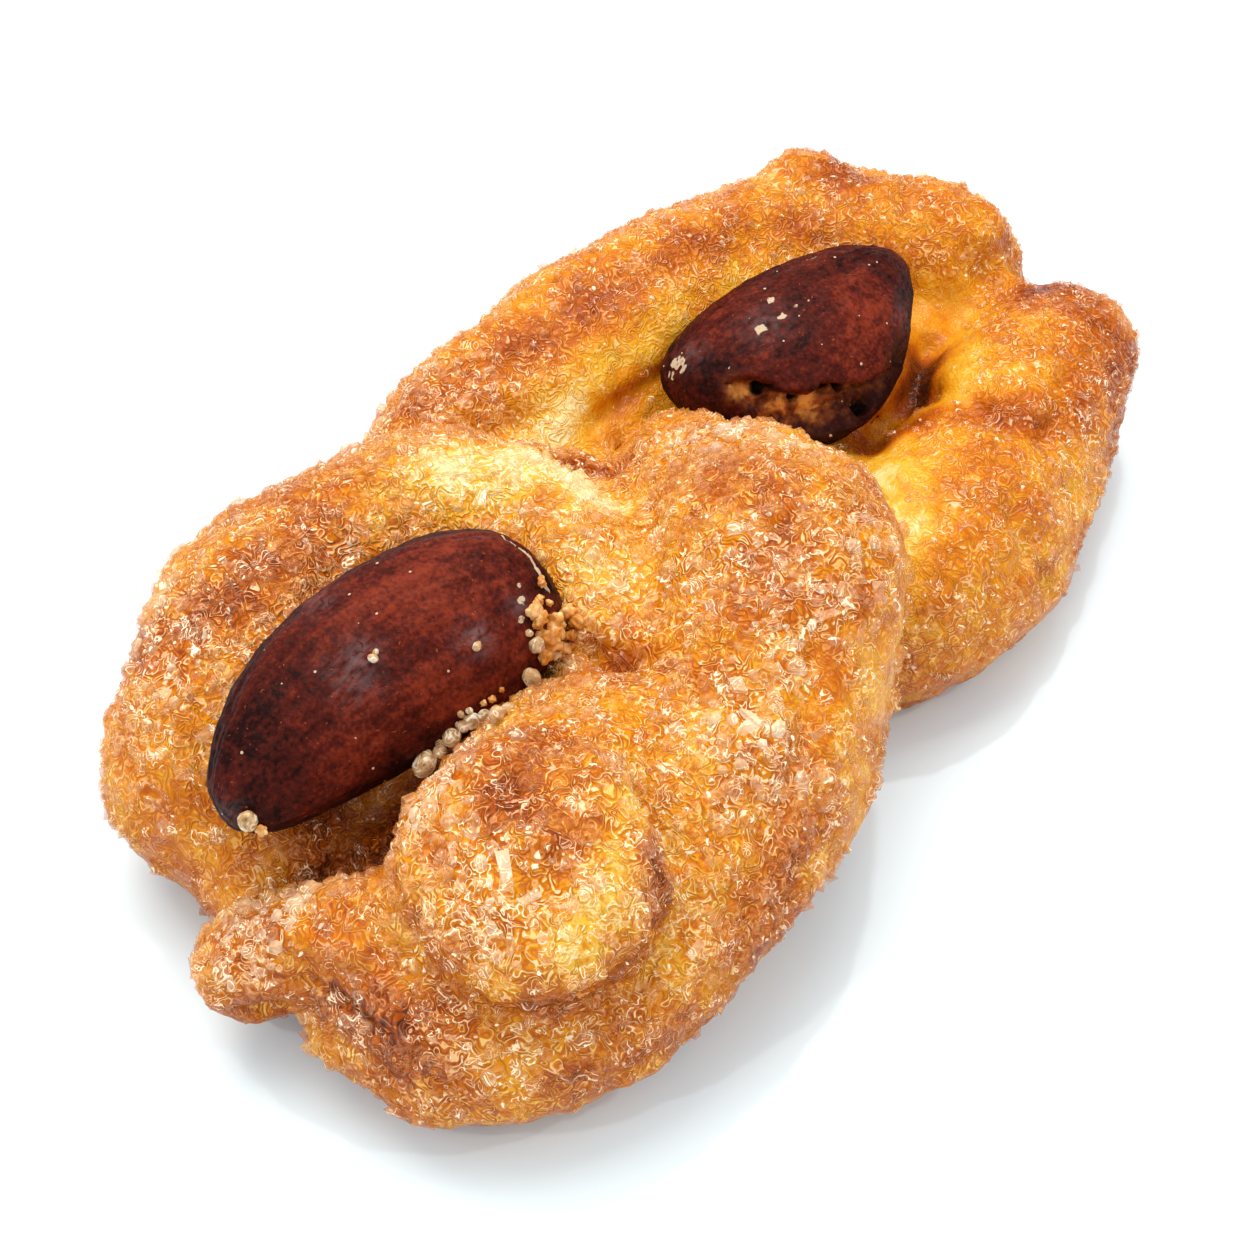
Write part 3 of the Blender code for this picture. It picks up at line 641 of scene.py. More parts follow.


# where the oven turned the crust brown, where shade is painted into the same layer as darker brown, and where
# the sugar lies

baking = {  # strokes on the crust: stations, reach in millimetres, amount
    "brownedAndShaded": {
        "nearLeftBack": ([(-18.9, -28.3, 14.1), (-14.1, -24.1, 17.5), (-15.3, -16.5, 18.2)], 2.8, 0.58),
        "byTheNut": ([(-10.8, -17.5, 17.1), (-8.0, -12.0, 18.3)], 1.8, 0.12),
        "nearLeftSide": ([(-15.6, -33.0, 10.6), (-12.9, -34.2, 11.0), (-9.1, -35.7, 8.2)], 3.0, 0.25),
        "farLeftTop": ([(-18.5, 0.1, 13.0), (-13.9, 10.0, 15.0), (-10.0, 21.0, 15.7),
                        (-6.2, 27.4, 14.9)], 2.2, 0.50),
        "farPeak": ([(-7.3, 32.7, 16.1), (-5.5, 34.0, 15.6)], 2.0, 0.60),
        "farTop": ([(-2.4, 32.0, 14.6), (-0.6, 31.1, 13.7)], 1.8, 0.20),
        "farEnd": ([(1.3, 35.6, 14.7), (3.0, 38.0, 12.5)], 3.0, 0.30),
        "farTip": ([(9.6, 34.6, 11.6), (13.5, 33.9, 12.4), (17.0, 32.0, 11.8)], 2.7, 0.90),
        "farTipSide": ([(18.9, 30.3, 9.6), (18.8, 25.3, 11.6)], 3.2, 0.55),
        "wrinkle": ([(8.8, 17.2, 11.8), (12.0, 19.4, 12.5), (16.4, 21.4, 12.2)], 1.6, 0.85),
        "belowWrinkle": ([(15.2, 15.4, 13.0), (17.6, 15.0, 13.0)], 2.4, 0.30),
        "farRopeEdge": ([(17.4, 9.6, 12.0), (17.8, 6.4, 11.2)], 1.1, 0.35),
        "head": ([(8.9, -4.4, 22.9), (14.6, -4.7, 22.8)], 3.4, 0.30),
        "headEdge": ([(13.6, 1.6, 20.4), (17.4, -3.2, 19.6), (18.6, -6.4, 19.8)], 1.3, 0.45),
        "nearMiddle": ([(13.9, -10.3, 21.5), (14.0, -15.0, 19.6)], 2.6, 0.30),
        "knobTop": ([(9.6, -25.6, 20.6), (9.4, -29.6, 20.7), (13.6, -29.4, 20.6)], 2.4, 0.62),
        "knobFace": ([(8.4, -34.2, 18.2), (10.8, -36.2, 16.6)], 1.6, 0.35),
        # painted shade: darker under the knob
        "underKnob": ([(18.8, -31.0, 13.0), (17.0, -35.6, 13.4), (12.4, -38.0, 12.2),
                       (7.5, -39.8, 11.0)], 1.5, 0.45),
        "tip": ([(-2.3, -39.3, 9.8), (-1.2, -41.8, 7.0)], 2.4, 0.50),
        "lipTop": ([(2.6, -38.6, 12.4), (6.8, -37.6, 12.8)], 1.6, 0.25),
        # painted shade: these four darken the front of the lip, the hollow beside the near almond and the
        # crevice beside the far almond
        "lipFront": ([(3.6, -40.4, 8.6), (7.5, -40.4, 9.6), (11.0, -41.2, 8.6)], 2.4, 0.75),
        "nearHollow": ([(-2.9, -31.0, 8.4), (-0.4, -29.4, 8.8), (0.4, -24.0, 9.6)], 3.6, 0.95),
        "farHollow": ([(6.2, 25.6, 9.6), (7.4, 21.8, 9.3)], 1.4, 2.2),
        "farHollowLow": ([(7.0, 18.4, 9.2), (6.9, 16.4, 9.5), (8.3, 15.2, 10.2)], 1.2, 1.4),
        "farLeftEdge": ([(-8.4, 7.4, 11.0), (-7.8, 10.5, 11.3), (-7.2, 14.0, 11.0)], 1.3, 0.65),
        # painted shade: darker in the notch and in the crease right of the knob
        "notch": ([(-4.4, -2.8, 16.2), (-3.6, -1.8, 16.0), (-2.4, -0.8, 16.4)], 0.9, 1.3),
        "knobRight": ([(17.4, -27.6, 18.7), (19.4, -28.4, 16.5)], 1.5, 0.85),
        "nearRightFoot": ([(19.3, -33.6, 9.3), (17.5, -36.8, 7.9)], 2.6, 0.30),
        # painted shade: darker in the pit of the saddle
        "saddlePit": ([(7.0, -15.8, 16.7), (7.8, -16.0, 16.8)], 0.8, 1.3),
        "tear": ([(18.2, -11.0, 19.6), (19.6, -11.6, 18.2), (19.6, -14.4, 17.6)], 1.4, 0.60),
        "nearSide": ([(21.8, -24.9, 11.6), (21.9, -18.3, 14.0)], 2.6, 0.40),
    },
    "pale": {
        "saddle": ([(-9.4, -9.0, 18.2), (-6.4, -6.2, 18.2), (-4.0, -4.7, 18.2),
                    (-1.6, -5.2, 18.0)], 2.6, 1.25),
        "saddleRight": ([(1.0, -5.6, 17.9), (3.4, -8.0, 18.1), (4.0, -10.6, 18.6)], 2.4, 0.42),
        "farInside": ([(-9.4, 4.0, 11.2), (-9.0, 12.0, 11.8), (-7.0, 20.0, 11.6)], 2.8, 0.55),
        "farPit": ([(-12.4, 3.4, 11.4), (-10.6, 1.6, 11.8)], 1.8, 0.45),
        "farRightFace": ([(7.4, 30.4, 10.4), (10.0, 24.0, 11.9), (10.6, 21.0, 12.2)], 1.8, 0.30),
        "farFloor": ([(9.6, 13.2, 11.0), (11.2, 10.5, 12.4), (13.0, 7.4, 12.2)], 2.6, 0.72),
        "farJoin": ([(5.2, 35.0, 12.6), (7.4, 35.4, 11.2)], 1.8, 0.45),
        "knobRim": ([(15.2, -25.6, 19.6), (16.8, -30.0, 18.8), (16.6, -34.0, 16.6)], 1.3, 0.75),
        "knobFace": ([(12.8, -33.4, 19.1), (14.4, -34.2, 17.8)], 2.0, 0.06),
        "nearWall": ([(19.6, -3.4, 16.4), (21.0, -8.4, 15.0)], 2.2, 0.15),
    },
    "bare": {  # where the sugar didn't stick
        "nearWall": ([(17.0, 0.6, 17.6), (20.4, -5.2, 16.6), (21.6, -10.0, 14.2),
                      (22.0, -13.6, 11.4)], 2.6, 0.85),
        "tear": ([(18.0, -10.2, 19.8), (19.6, -11.6, 18.2), (19.4, -13.6, 18.0)], 1.3, 0.8),
        "farFloor": ([(6.6, 19.6, 9.4), (8.3, 15.2, 10.2), (11.2, 10.5, 12.4), (13.6, 7.0, 12.2)], 3.0, 0.95),
        "farRightFace": ([(5.4, 31.4, 9.4), (8.4, 25.4, 11.0), (10.2, 20.4, 12.2)], 2.4, 0.90),
        "farLeftInside": ([(-8.7, 6.6, 10.4), (-8.0, 12.0, 11.0), (-5.8, 21.0, 11.2)], 2.6, 0.80),
        "farHollow": ([(1.6, 29.0, 9.0), (5.0, 25.0, 9.0)], 3.2, 0.9),
        "nearHollow": ([(-1.4, -27.0, 8.0), (1.0, -20.0, 8.6)], 2.6, 0.55),
        "nearLeftSide": ([(-22.0, -20.0, 6.0), (-17.6, -31.0, 8.4), (-12.9, -34.2, 9.6),
                          (-9.1, -35.7, 7.4)], 3.2, 0.60),
        "lipTop": ([(2.6, -38.8, 12.0), (6.0, -38.2, 12.6)], 1.8, 0.55),
        "farSide": ([(17.6, 2.6, 5.0), (21.8, 8.4, 4.6), (22.6, 16.0, 4.4)], 3.4, 0.35),
    },
    "frost": {  # where the sugar lies thick and whitish
        "nearEnd": ([(-18.4, -27.4, 14.4), (-15.0, -29.4, 14.8)], 2.6, 0.75),
        "nearBack": ([(-10.8, -19.4, 17.2), (-9.4, -16.4, 17.6)], 1.8, 0.35),
        "tip": ([(-4.6, -39.0, 10.0), (-1.6, -37.8, 11.4), (-0.9, -41.2, 7.8)], 2.2, 0.85),
        "lipFront": ([(6.6, -39.9, 9.6), (9.6, -40.6, 9.0), (12.6, -40.2, 8.8)], 2.0, 0.85),
        "knobLeft": ([(5.6, -33.0, 18.6), (5.4, -28.4, 19.4)], 2.4, 0.7),
        "knobFace": ([(10.8, -33.8, 18.8), (13.4, -34.6, 17.8)], 2.6, 1.0),
        "nearTop": ([(12.4, -8.4, 22.0), (14.8, -11.0, 21.0), (16.0, -8.6, 20.8)], 2.8, 0.50),
        "headRight": ([(15.6, -3.0, 21.4), (16.4, -4.6, 21.0)], 1.6, 0.6),
        "nearMiddle": ([(16.6, -17.6, 18.6), (19.2, -17.2, 17.4)], 2.4, 0.95),
        "nearFlank": ([(19.6, -31.4, 14.6), (20.8, -28.4, 13.0)], 2.0, 0.6),
        "nearFold": ([(2.6, -11.0, 18.6), (4.6, -13.6, 18.8)], 1.8, 0.4),
        "headBack": ([(2.0, 0.4, 19.8), (8.0, 1.0, 21.8)], 2.2, 0.6),
        "farBack": ([(-18.0, 0.8, 13.2), (-16.0, 4.0, 14.4)], 2.6, 0.55),
        "farRidge": ([(-14.6, 10.0, 15.2), (-12.2, 16.0, 15.6)], 2.4, 0.45),
        "farTipSide": ([(18.6, 29.4, 10.4), (20.2, 24.6, 10.0)], 2.6, 0.6),
        "farPeak": ([(-8.4, 30.6, 15.6), (-4.6, 33.4, 15.2)], 2.2, 0.35),
    },
    "sugarSides": (-0.45, 0.25),  # how far down the sides the sugar goes, by the upward part of the normal
    "frostSides": (0.1, 0.6),
    "heat": 0.16,  # how much more the tops brown than the slopes
    "tops": (-0.2, 0.9),
    "topsMiddle": 0.6,
    "sides": 0.42,  # how much darker the steep sides are made: more brown there, and painted shade on the lower sides
    "slopes": (-0.1, 0.55),
    "patches": [(6.0, 0.28), (2.6, 0.30), (1.1, 0.16)],  # wavelength, amount
    "thinSugar": [(5.0, 0.5), (1.8, 0.5)],
    "foot": (0.2, 1.2),  # over the tray, the heights where the sugar starts
    "nutEdge": (1.0, 1.06),  # of the nut's size, where the sugar starts beside it
    "noSugarWhereDark": (0.85, 1.25),  # how dark the crust's brown and painted shade are where the sugar is gone
    "noFrostWhereDark": (0.8, 1.2),
    "nearFrost": 0.12,  # thin frost all over the near half
    "unevenFrost": [(2.4, 0.25)],
    "fineFrom": (-2.0, 9.0),  # along Y, the grains turn finer towards the far half
    "farThinner": 0.15,
    "farFiner": 0.32,
    "toneRange": (-1.2, 1.6),
    "smoothWhereBare": 0.75,
    "flatFoot": 0.05,  # millimetres over the tray that keep flat
}


def bakeCrust(crust):
    # the fine folds and the grain of the crust
    places = readPoints(crust.data) / mm
    normals = readPoints(crust.data, "normal")
    bare = np.clip(strokes(places, baking["bare"]), 0.0, 1.0)
    relief = lumps(places, dough["crustGrain"], (9.0, 2.0, 5.0)) * (1.0 - baking["smoothWhereBare"] * bare)
    relief -= strokes(places, dough["fineFolds"])
    relief[places[:, 2] < baking["flatFoot"]] = 0.0
    places += normals * relief[:, None]
    places[:, 2] = np.maximum(places[:, 2], 0.0)
    writePoints(crust.data, places * mm)


def layBed(crust, bed):
    # presses one almond's bed into the dough
    press = crust.modifiers.new("bed", "BOOLEAN")
    press.operation = "DIFFERENCE"
    press.solver = "EXACT"
    press.object = bed
    applyModifiers(crust)
    bpy.data.objects.remove(bed)


def paintCrust(crust):
    mesh = crust.data
    places = readPoints(mesh) / mm
    normals = readPoints(mesh, "normal")
    bare = np.clip(strokes(places, baking["bare"]), 0.0, 1.0)
    brownedAndShaded = strokes(places, baking["brownedAndShaded"]) - strokes(places, baking["pale"])
    brownedAndShaded += baking["heat"] * (smoothStep(*baking["tops"], normals[:, 2]) - baking["topsMiddle"])
    # painted shade: the steep and lower sides are made darker, together with more brown
    brownedAndShaded += baking["sides"] * (1.0 - smoothStep(*baking["slopes"], normals[:, 2]))
    brownedAndShaded += lumps(places, baking["patches"], (1.0, 7.0, 3.0))
    sugar = smoothStep(*baking["sugarSides"], normals[:, 2]) * (1.0 - bare)
    sugar *= np.clip(0.95 + lumps(places, baking["thinSugar"], (4.0, 4.0, 0.0)), 0.0, 1.0)
    sugar *= smoothStep(*baking["foot"], places[:, 2])
    far = smoothStep(*baking["fineFrom"], places[:, 1])
    sugar *= 1.0 - baking["farThinner"] * far
    for form in almonds.values():  # none under the nuts
        stand = np.array(almondStand(form).inverted())
        inNut = (places @ stand[:3, :3].T + stand[:3, 3]) / (np.array(form["size"]) / 2 + 0.15)
        sugar *= smoothStep(*baking["nutEdge"], np.linalg.norm(inNut, axis=1))
    sugar *= 1.0 - smoothStep(*baking["noSugarWhereDark"], brownedAndShaded)  # none where the brown and the painted shade are darkest
    paint(mesh, "brownedAndShaded", np.clip(brownedAndShaded, *baking["toneRange"]))
    paint(mesh, "sugar", np.clip(sugar, 0.0, 1.0))
    paint(mesh, "bare", bare)
    paint(mesh, "grain", 1.0 - baking["farFiner"] * far)
    frost = strokes(places, baking["frost"]) + baking["nearFrost"] * (1.0 - far)
    frost = np.clip(frost + lumps(places, baking["unevenFrost"], (6.0, 1.0, 9.0)), 0.0, 1.2)
    frost *= 1.0 - smoothStep(*baking["noFrostWhereDark"], brownedAndShaded)
    paint(mesh, "frost", frost * smoothStep(*baking["frostSides"], normals[:, 2]))
    mesh.shade_smooth()
    print("crust painted:", len(mesh.polygons), "faces")


# the sugar

sugar = {
    "shapes": {"lump": 7, "block": 1, "shard": 2},  # how many different crystals of each kind are strewn
    "halfSizes": {"lump": (0.50, 0.44, 0.31), "block": (0.46, 0.38, 0.26), "shard": (0.62, 0.27, 0.21)},
    "tilt": 0.5,  # how far a crystal leans from lying flat, in radians
    "uneven": {"lump": 0.16, "block": 0.14, "shard": 0.16},
    "shapeSeed": 5,
    "layers": {  # spacing, sizes and lift in millimetres, grains for each square millimetre
        "sugarCoarse": {"spacing": 1.4, "density": 0.40, "smallest": 1.05, "largest": 1.60,
                        "lift": 0.12, "seed": 3},
        "sugarGrains": {"spacing": 0.60, "density": 2.4, "smallest": 0.75, "largest": 1.30,
                        "lift": 0.03, "seed": 7},
        "sugarFine": {"spacing": 0.50, "density": 2.4, "smallest": 0.42, "largest": 0.72,
                      "lift": 0.04, "seed": 12},
    },
    "brokenShare": 0.3,  # of a block's or shard's corners
    "brokenTo": (0.62, 0.85),
    "rimFade": 0.75,  # of a crystal's height, over which the painted edge highlight fades
}


def sugarCrystal(name, kind, draw):
    # a rounded lump, or a broken block with flat faces; its points hold the painted light that gathers there
    # and the painted highlight near its edge
    shape = bmesh.new()
    if kind == "lump":
        bmesh.ops.create_icosphere(shape, subdivisions=1, radius=1.0)
    else:
        bmesh.ops.create_cube(shape, size=1.75)
    uneven = sugar["uneven"][kind]
    for vertex in shape.verts:
        for axis, half in enumerate(sugar["halfSizes"][kind]):
            vertex.co[axis] *= half * (1.0 + draw.uniform(-uneven, uneven))
        if kind != "lump" and draw.random() < sugar["brokenShare"]:
            vertex.co *= draw.uniform(*sugar["brokenTo"])  # a broken corner
    hull = bmesh.ops.convex_hull(shape, input=shape.verts, use_existing_faces=False)
    stray = [face for face in shape.faces if face not in set(hull["geom"])]
    bmesh.ops.delete(shape, geom=stray, context="FACES_ONLY")
    bmesh.ops.triangulate(shape, faces=shape.faces)
    bmesh.ops.recalc_face_normals(shape, faces=shape.faces)
    mesh = meshFrom(shape, name)
    if kind == "lump":
        mesh.shade_smooth()
    else:
        mesh.shade_flat()
    paint(mesh, "glow", [draw.random() for _ in mesh.vertices])
    high = sugar["halfSizes"][kind][2]
    rimHighlights = [sugar["rimFade"] * (1.0 - vertex.co.z / high) for vertex in mesh.vertices]
    paint(mesh, "rimHighlight", np.clip(rimHighlights, 0.0, 1.0))
    return bpy.data.objects.new(name, mesh)


def crystalBox():
    # a collection of crystal shapes to strew
    box = bpy.data.collections.new("crystals")
    draw = random.Random(sugar["shapeSeed"])
    for kind, count in sugar["shapes"].items():
        for number in range(count):
            box.objects.link(sugarCrystal(f"{kind}{number}", kind, draw))
    return box


def strewTree():
    # strews the objects of a collection over a surface, as densely as its "sugar" layer says
    tree = bpy.data.node_groups.new("strew", "GeometryNodeTree")
    floats = dict.fromkeys(("Spacing", "Density", "Smallest", "Largest", "Lift"), "Float")
    inputs = {"Surface": "Geometry", "Crystals": "Collection", **floats, "Seed": "Int", "Finish": "Material"}
    addSockets(tree, inputs, {"Strewn": "Geometry"})

    def node(kind, given=None, **settings):
        return addNode(tree, kind, given, **settings).outputs

    def layer(name):
        return node("GeometryNodeInputNamedAttribute", {"Name": name}, data_type="FLOAT")["Attribute"]

    given = node("NodeGroupInput")
    points = node("GeometryNodeDistributePointsOnFaces", {
        "Mesh": given["Surface"], "Distance Min": given["Spacing"], "Density Max": given["Density"],
        "Density Factor": layer("sugar"), "Seed": given["Seed"]}, distribute_method="POISSON")
    lift = node("ShaderNodeVectorMath", {0: points["Normal"], "Scale": given["Lift"]}, operation="SCALE")
    lifted = node("GeometryNodeSetPosition", {"Geometry": points["Points"], "Offset": lift[0]})

    shapes = node("GeometryNodeCollectionInfo", {"Collection": given["Crystals"], "Separate Children": True})
    tilt = sugar["tilt"]
    turn = node("FunctionNodeRandomValue", {
        0: (-tilt, -tilt, 0.0), 1: (tilt, tilt, math.tau), "Seed": given["Seed"]}, data_type="FLOAT_VECTOR")
    leaning = node("FunctionNodeRotateRotation", {
        "Rotation": points["Rotation"], "Rotate By": turn[0]}, rotation_space="LOCAL")
    size = node("FunctionNodeRandomValue", {
        2: given["Smallest"], 3: given["Largest"], "Seed": given["Seed"]}, data_type="FLOAT")
    scale = node("ShaderNodeMath", {0: size[1], 1: layer("grain")}, operation="MULTIPLY")
    strewn = node("GeometryNodeInstanceOnPoints", {
        "Points": lifted["Geometry"], "Instance": shapes["Instances"], "Pick Instance": True,
        "Rotation": leaning["Rotation"], "Scale": scale[0]})

    tint = node("FunctionNodeRandomValue", {2: 0.0, 3: 1.0}, data_type="FLOAT")
    named = {"Name": "tint", "Geometry": strewn["Instances"], "Value": tint[1]}
    tinted = node("GeometryNodeStoreNamedAttribute", named, data_type="FLOAT", domain="INSTANCE")
    real = node("GeometryNodeRealizeInstances", {"Geometry": tinted["Geometry"]})
    dressed = node("GeometryNodeSetMaterial", {"Geometry": real["Geometry"], "Material": given["Finish"]})
    node("NodeGroupOutput", {"Strewn": dressed["Geometry"]})
    return tree


def setModifier(modifier, values):
    # a modifier's inputs are set by their sockets' identifiers
    for item in modifier.node_group.interface.items_tree:
        if item.item_type == "SOCKET" and item.in_out == "INPUT" and item.name in values:
            modifier[item.identifier] = values[item.name]


def strewSugar(crust, finish):
    tree = strewTree()
    crystals = crystalBox()
    strewn = []
    for name, layer in sugar["layers"].items():
        coat = addObject(name, crust.data.copy())
        modifier = coat.modifiers.new("strew", "NODES")
        modifier.node_group = tree
        values = {key.title(): layer[key] * mm for key in ("spacing", "smallest", "largest", "lift")}
        values["Density"] = layer["density"] / mm ** 2
        values.update(Seed=layer["seed"], Crystals=crystals, Finish=finish)
        setModifier(modifier, values)
        applyModifiers(coat)
        print(name, "strewn:", len(coat.data.polygons), "faces")
        strewn.append(coat)
    for crystal in list(crystals.objects):
        bpy.data.objects.remove(crystal)
    bpy.data.collections.remove(crystals)
    return strewn


crumbs = {  # millimetres: x, y, z and size of each bit that stands out, and runs of small ones between them
    "bits": {
        "placed": [(3.0, -17.5, 20.5, 1.3), (3.3, -17.5, 20.0, 1.1), (4.1, -17.5, 18.7, 1.4),
                   (3.9, -16.3, 19.0, 1.3),
                   (3.5, -14.9, 18.5, 1.2), (4.2, -15.1, 18.2, 1.1), (4.2, -18.3, 18.1, 1.1),
(4.0, -16.8, 18.7, 1.2),
                   (2.6, -16.5, 20.5, 0.7), (4.3, -15.7, 17.6, 0.9), (4.1, -16.3, 16.9, 0.9),
(-3.5, -35.9, 14.9, 0.8)],
        "runs": [([(2.2, -15.4, 20.4), (3.2, -16.6, 19.6), (4.0, -17.6, 18.4)], 12, 0.6, (0.35, 0.8)),
                 ([(4.2, -15.4, 17.6), (4.6, -17.0, 17.0)], 8, 0.7, (0.3, 0.7)),
                 ([(3.6, -21.8, 17.4), (2.4, -24.6, 16.6)], 5, 0.4, (0.3, 0.6))],
    },
    "beads": {
        "placed": [(1.6, -27.1, 15.3, 1.85), (2.3, -25.3, 16.4, 1.3), (2.5, -24.5, 16.7, 1.0),
                   (2.8, -23.9, 16.8, 1.35),
                   (3.1, -23.2, 16.8, 1.0), (4.5, -23.8, 18.4, 1.3), (4.7, -23.0, 18.3, 0.9),
(4.2, -19.8, 17.6, 1.5),
                   (1.9, -26.0, 15.6, 1.0), (3.8, -18.6, 19.1, 1.15), (3.2, -18.5, 19.7, 0.6),
(-4.1, -36.3, 15.8, 1.5),
                   (-2.3, -26.2, 21.3, 0.75), (-2.4, -25.8, 21.4, 0.5), (1.7, -21.6, 20.5, 0.75)],
        "runs": [([(4.6, -22.6, 18.0), (3.2, -23.8, 17.2), (2.4, -25.0, 16.4),
                   (1.9, -26.4, 15.6)], 14, 0.45, (0.35, 0.75))],
    },
    "scale": 0.85,
    "sunk": 0.3,  # of its size, how far a bit lies in what carries it
    "near": 0.45,  # of its size, how near what carries it a bit has to be to stay where it is placed
    "stretch": (0.75, 1.15),
    "rough": {"bits": 0.55, "beads": 0.12},
    "seed": 21,
}


def looseBits(name, carriers, draw):
    # small uneven lumps resting on the crust or a nut, each one closed
    bits = crumbs[name]
    rough = crumbs["rough"][name]
    places = [(Vector(bit[:3]), bit[3]) for bit in bits["placed"]]
    for stations, count, spread, sizes in bits["runs"]:
        run = smoothRun(stations, runSteps)
        for number in range(count):
            at = Vector(run[round((len(run) - 1) * number / (count - 1))])
            at += Vector([draw.uniform(-spread, spread) for _ in range(3)])
            places.append((at, draw.uniform(*sizes)))
    shape = bmesh.new()
    for at, size in places:
        size *= crumbs["scale"]
        surface, out, _, away = carriers.find_nearest(at * mm)
        resting = away < crumbs["near"] * size * mm and (at * mm - surface).dot(out) > 0
        if not resting:
            at = surface / mm + out * size * (0.5 - crumbs["sunk"])
        lump = bmesh.ops.create_icosphere(shape, subdivisions=3, radius=0.5)["verts"]
        seed = Vector([draw.uniform(0, 50) for _ in range(3)])
        stretch = Vector([draw.uniform(*crumbs["stretch"]) for _ in range(3)])
        for vertex in lump:
            swell = 1.0 + rough * noise.noise(vertex.co * 3.0 + seed)
            swell += 0.4 * rough * noise.noise(vertex.co * 8.0 + seed)
            vertex.co = (at + vertex.co * stretch * size * swell) * mm
    made = addObject(name, meshFrom(shape, name))
    made.data.shade_smooth()
    print(name, "laid:", len(made.data.polygons), "faces")
    return made


# finishes

tones = {  # linear colours
    "crustFrom": -1.0, "crustTo": 1.6,
    # the darkest stops also colour the painted shade in the creases and hollows
    "crust": [(0.00, (0.890, 0.710, 0.350)), (0.19, (0.790, 0.410, 0.030)), (0.385, (0.705, 0.248, 0.005)),
              (0.577, (0.535, 0.126, 0.002)), (0.77, (0.340, 0.055, 0.002)), (1.00, (0.060, 0.010, 0.001))],
    "sugarWhite": (0.97, 0.77, 0.52),
    "nut": [(0.0, (0.016, 0.0026, 0.0022)), (0.5, (0.078, 0.0078, 0.0036)), (1.0, (0.200, 0.0240, 0.0080))],
    "nutScuff": (0.62, 0.47, 0.30),
    "nutFibre": (0.40, 0.080, 0.018),
    "nutSmear": (0.30, 0.22, 0.22),
    "nutTorn": [(0.0, (0.010, 0.0025, 0.0018)), (0.40, (0.070, 0.013, 0.005)),
                (0.7, (0.26, 0.060, 0.012)), (1.0, (0.66, 0.26, 0.05))],
    "nutHole": (0.004, 0.002, 0.0015),
    "crumb": [(0.2, (0.40, 0.11, 0.012)), (0.5, (0.70, 0.28, 0.045)), (0.9, (0.95, 0.68, 0.34))],
    "bead": [(0.3, (0.40, 0.20, 0.07)), (0.62, (0.78, 0.50, 0.24)), (0.95, (1.0, 0.90, 0.72))],
    "floor": (0.84, 0.93, 0.95),
}
patches = {"PatchSize": 2.8, "PatchAmount": 1.0, "SpeckSize": 0.8, "SpeckAmount": 0.8}  # of the crust's tone
# below, sizes are in millimetres; where a pair grades a layer, it counts times the first, plus the second


def unevenGroup():
    # adds soft patches and fine specks to a tone; sizes in millimetres
    sizes = dict.fromkeys(patches, "Float")
    tree = bpy.data.node_groups.new("uneven", "ShaderNodeTree")
    addSockets(tree, {"Tone": "Float", "Place": "Vector", **sizes}, {"Tone": "Float"})
    given = wires(addNode(tree, "NodeGroupInput"))
    tone = given["Tone"]
    for kind in ("Patch", "Speck"):
        swing = noiseAt(given["Place"], given[kind + "Size"])["Fac"] - 0.5
        tone = swing * given[kind + "Amount"] + tone
    addNode(tree, "NodeGroupOutput", {"Tone": tone})
    return tree


def bakedGroup():
    # the colour of the crust from how brown it is, the painted shade counting as darker brown
    tree = bpy.data.node_groups.new("baked", "ShaderNodeTree")
    addSockets(tree, {"Browned": "Float"}, {"Colour": "Color"})
    brownedAndShaded = wires(addNode(tree, "NodeGroupInput"))["Browned"]
    share = band(brownedAndShaded, tones["crustFrom"], tones["crustTo"], "LINEAR")
    addNode(tree, "NodeGroupOutput", {"Colour": ramp(share, tones["crust"])})
    return tree


facets = {
    "line": (0.55, 0.92), "strong": (0.1, 0.7),  # where the wave is a painted highlight line, and which grains show it
    "gap": (-0.98, -0.55),
    "waveHeight": 0.4, "cellHeight": 0.4,
    # painted glints: the dots, and the sparks on the lines
    "dot": (0.10, 0.15), "dotted": (0.60, 0.64),
    "spark": (0.80, 0.92), "sparkling": (0.62, 0.70),
}


def facetGroup():
    # curly pale lines painted as the highlights on the edges of clear grains, the gaps between, a chance
    # value for each grain, heights, and dots and sparks painted as glints
    outputs = ("Line", "Gap", "Chance", "Height", "Dot", "Spark")
    tree = bpy.data.node_groups.new("facets", "ShaderNodeTree")
    addSockets(tree, {"Place": "Vector", "Size": "Float", "Curl": "Float", "Turns": "Float"},
               dict.fromkeys(outputs, "Float"))
    given = wires(addNode(tree, "NodeGroupInput"))
    place, size = given["Place"], given["Size"]
    swirl = noiseAt(place, size, Detail=1.0, Distortion=given["Curl"])
    wave = calc("SINE", swirl["Fac"] * given["Turns"])
    distance, chance = cellsAt(shifted(place, swirl["Color"], size * mm), size)
    addNode(tree, "NodeGroupOutput", {
        "Line": band(wave, *facets["line"]) * band(chance["Blue"], *facets["strong"]),
        "Gap": 1.0 - band(wave, *facets["gap"]),
        "Chance": chance["Red"],
        "Height": wave * facets["waveHeight"] + chance["Green"] * facets["cellHeight"],
        "Dot": (1.0 - band(distance, *facets["dot"])) * band(chance["Green"], *facets["dotted"]),
        "Spark": band(wave, *facets["spark"]) * band(chance["Red"], *facets["sparkling"]),
    })
    return tree


def newFinish(name, **given):
    # a material with its first inputs set, and the place on the object that its patterns run through
    finish = bpy.data.materials.new(name)
    finish.use_nodes = True
    shader = finish.node_tree.nodes["Principled BSDF"]
    feedAll(shader, given)
    place = wires(addNode(finish.node_tree, "ShaderNodeTexCoord"))["Object"]
    return finish, shader, place


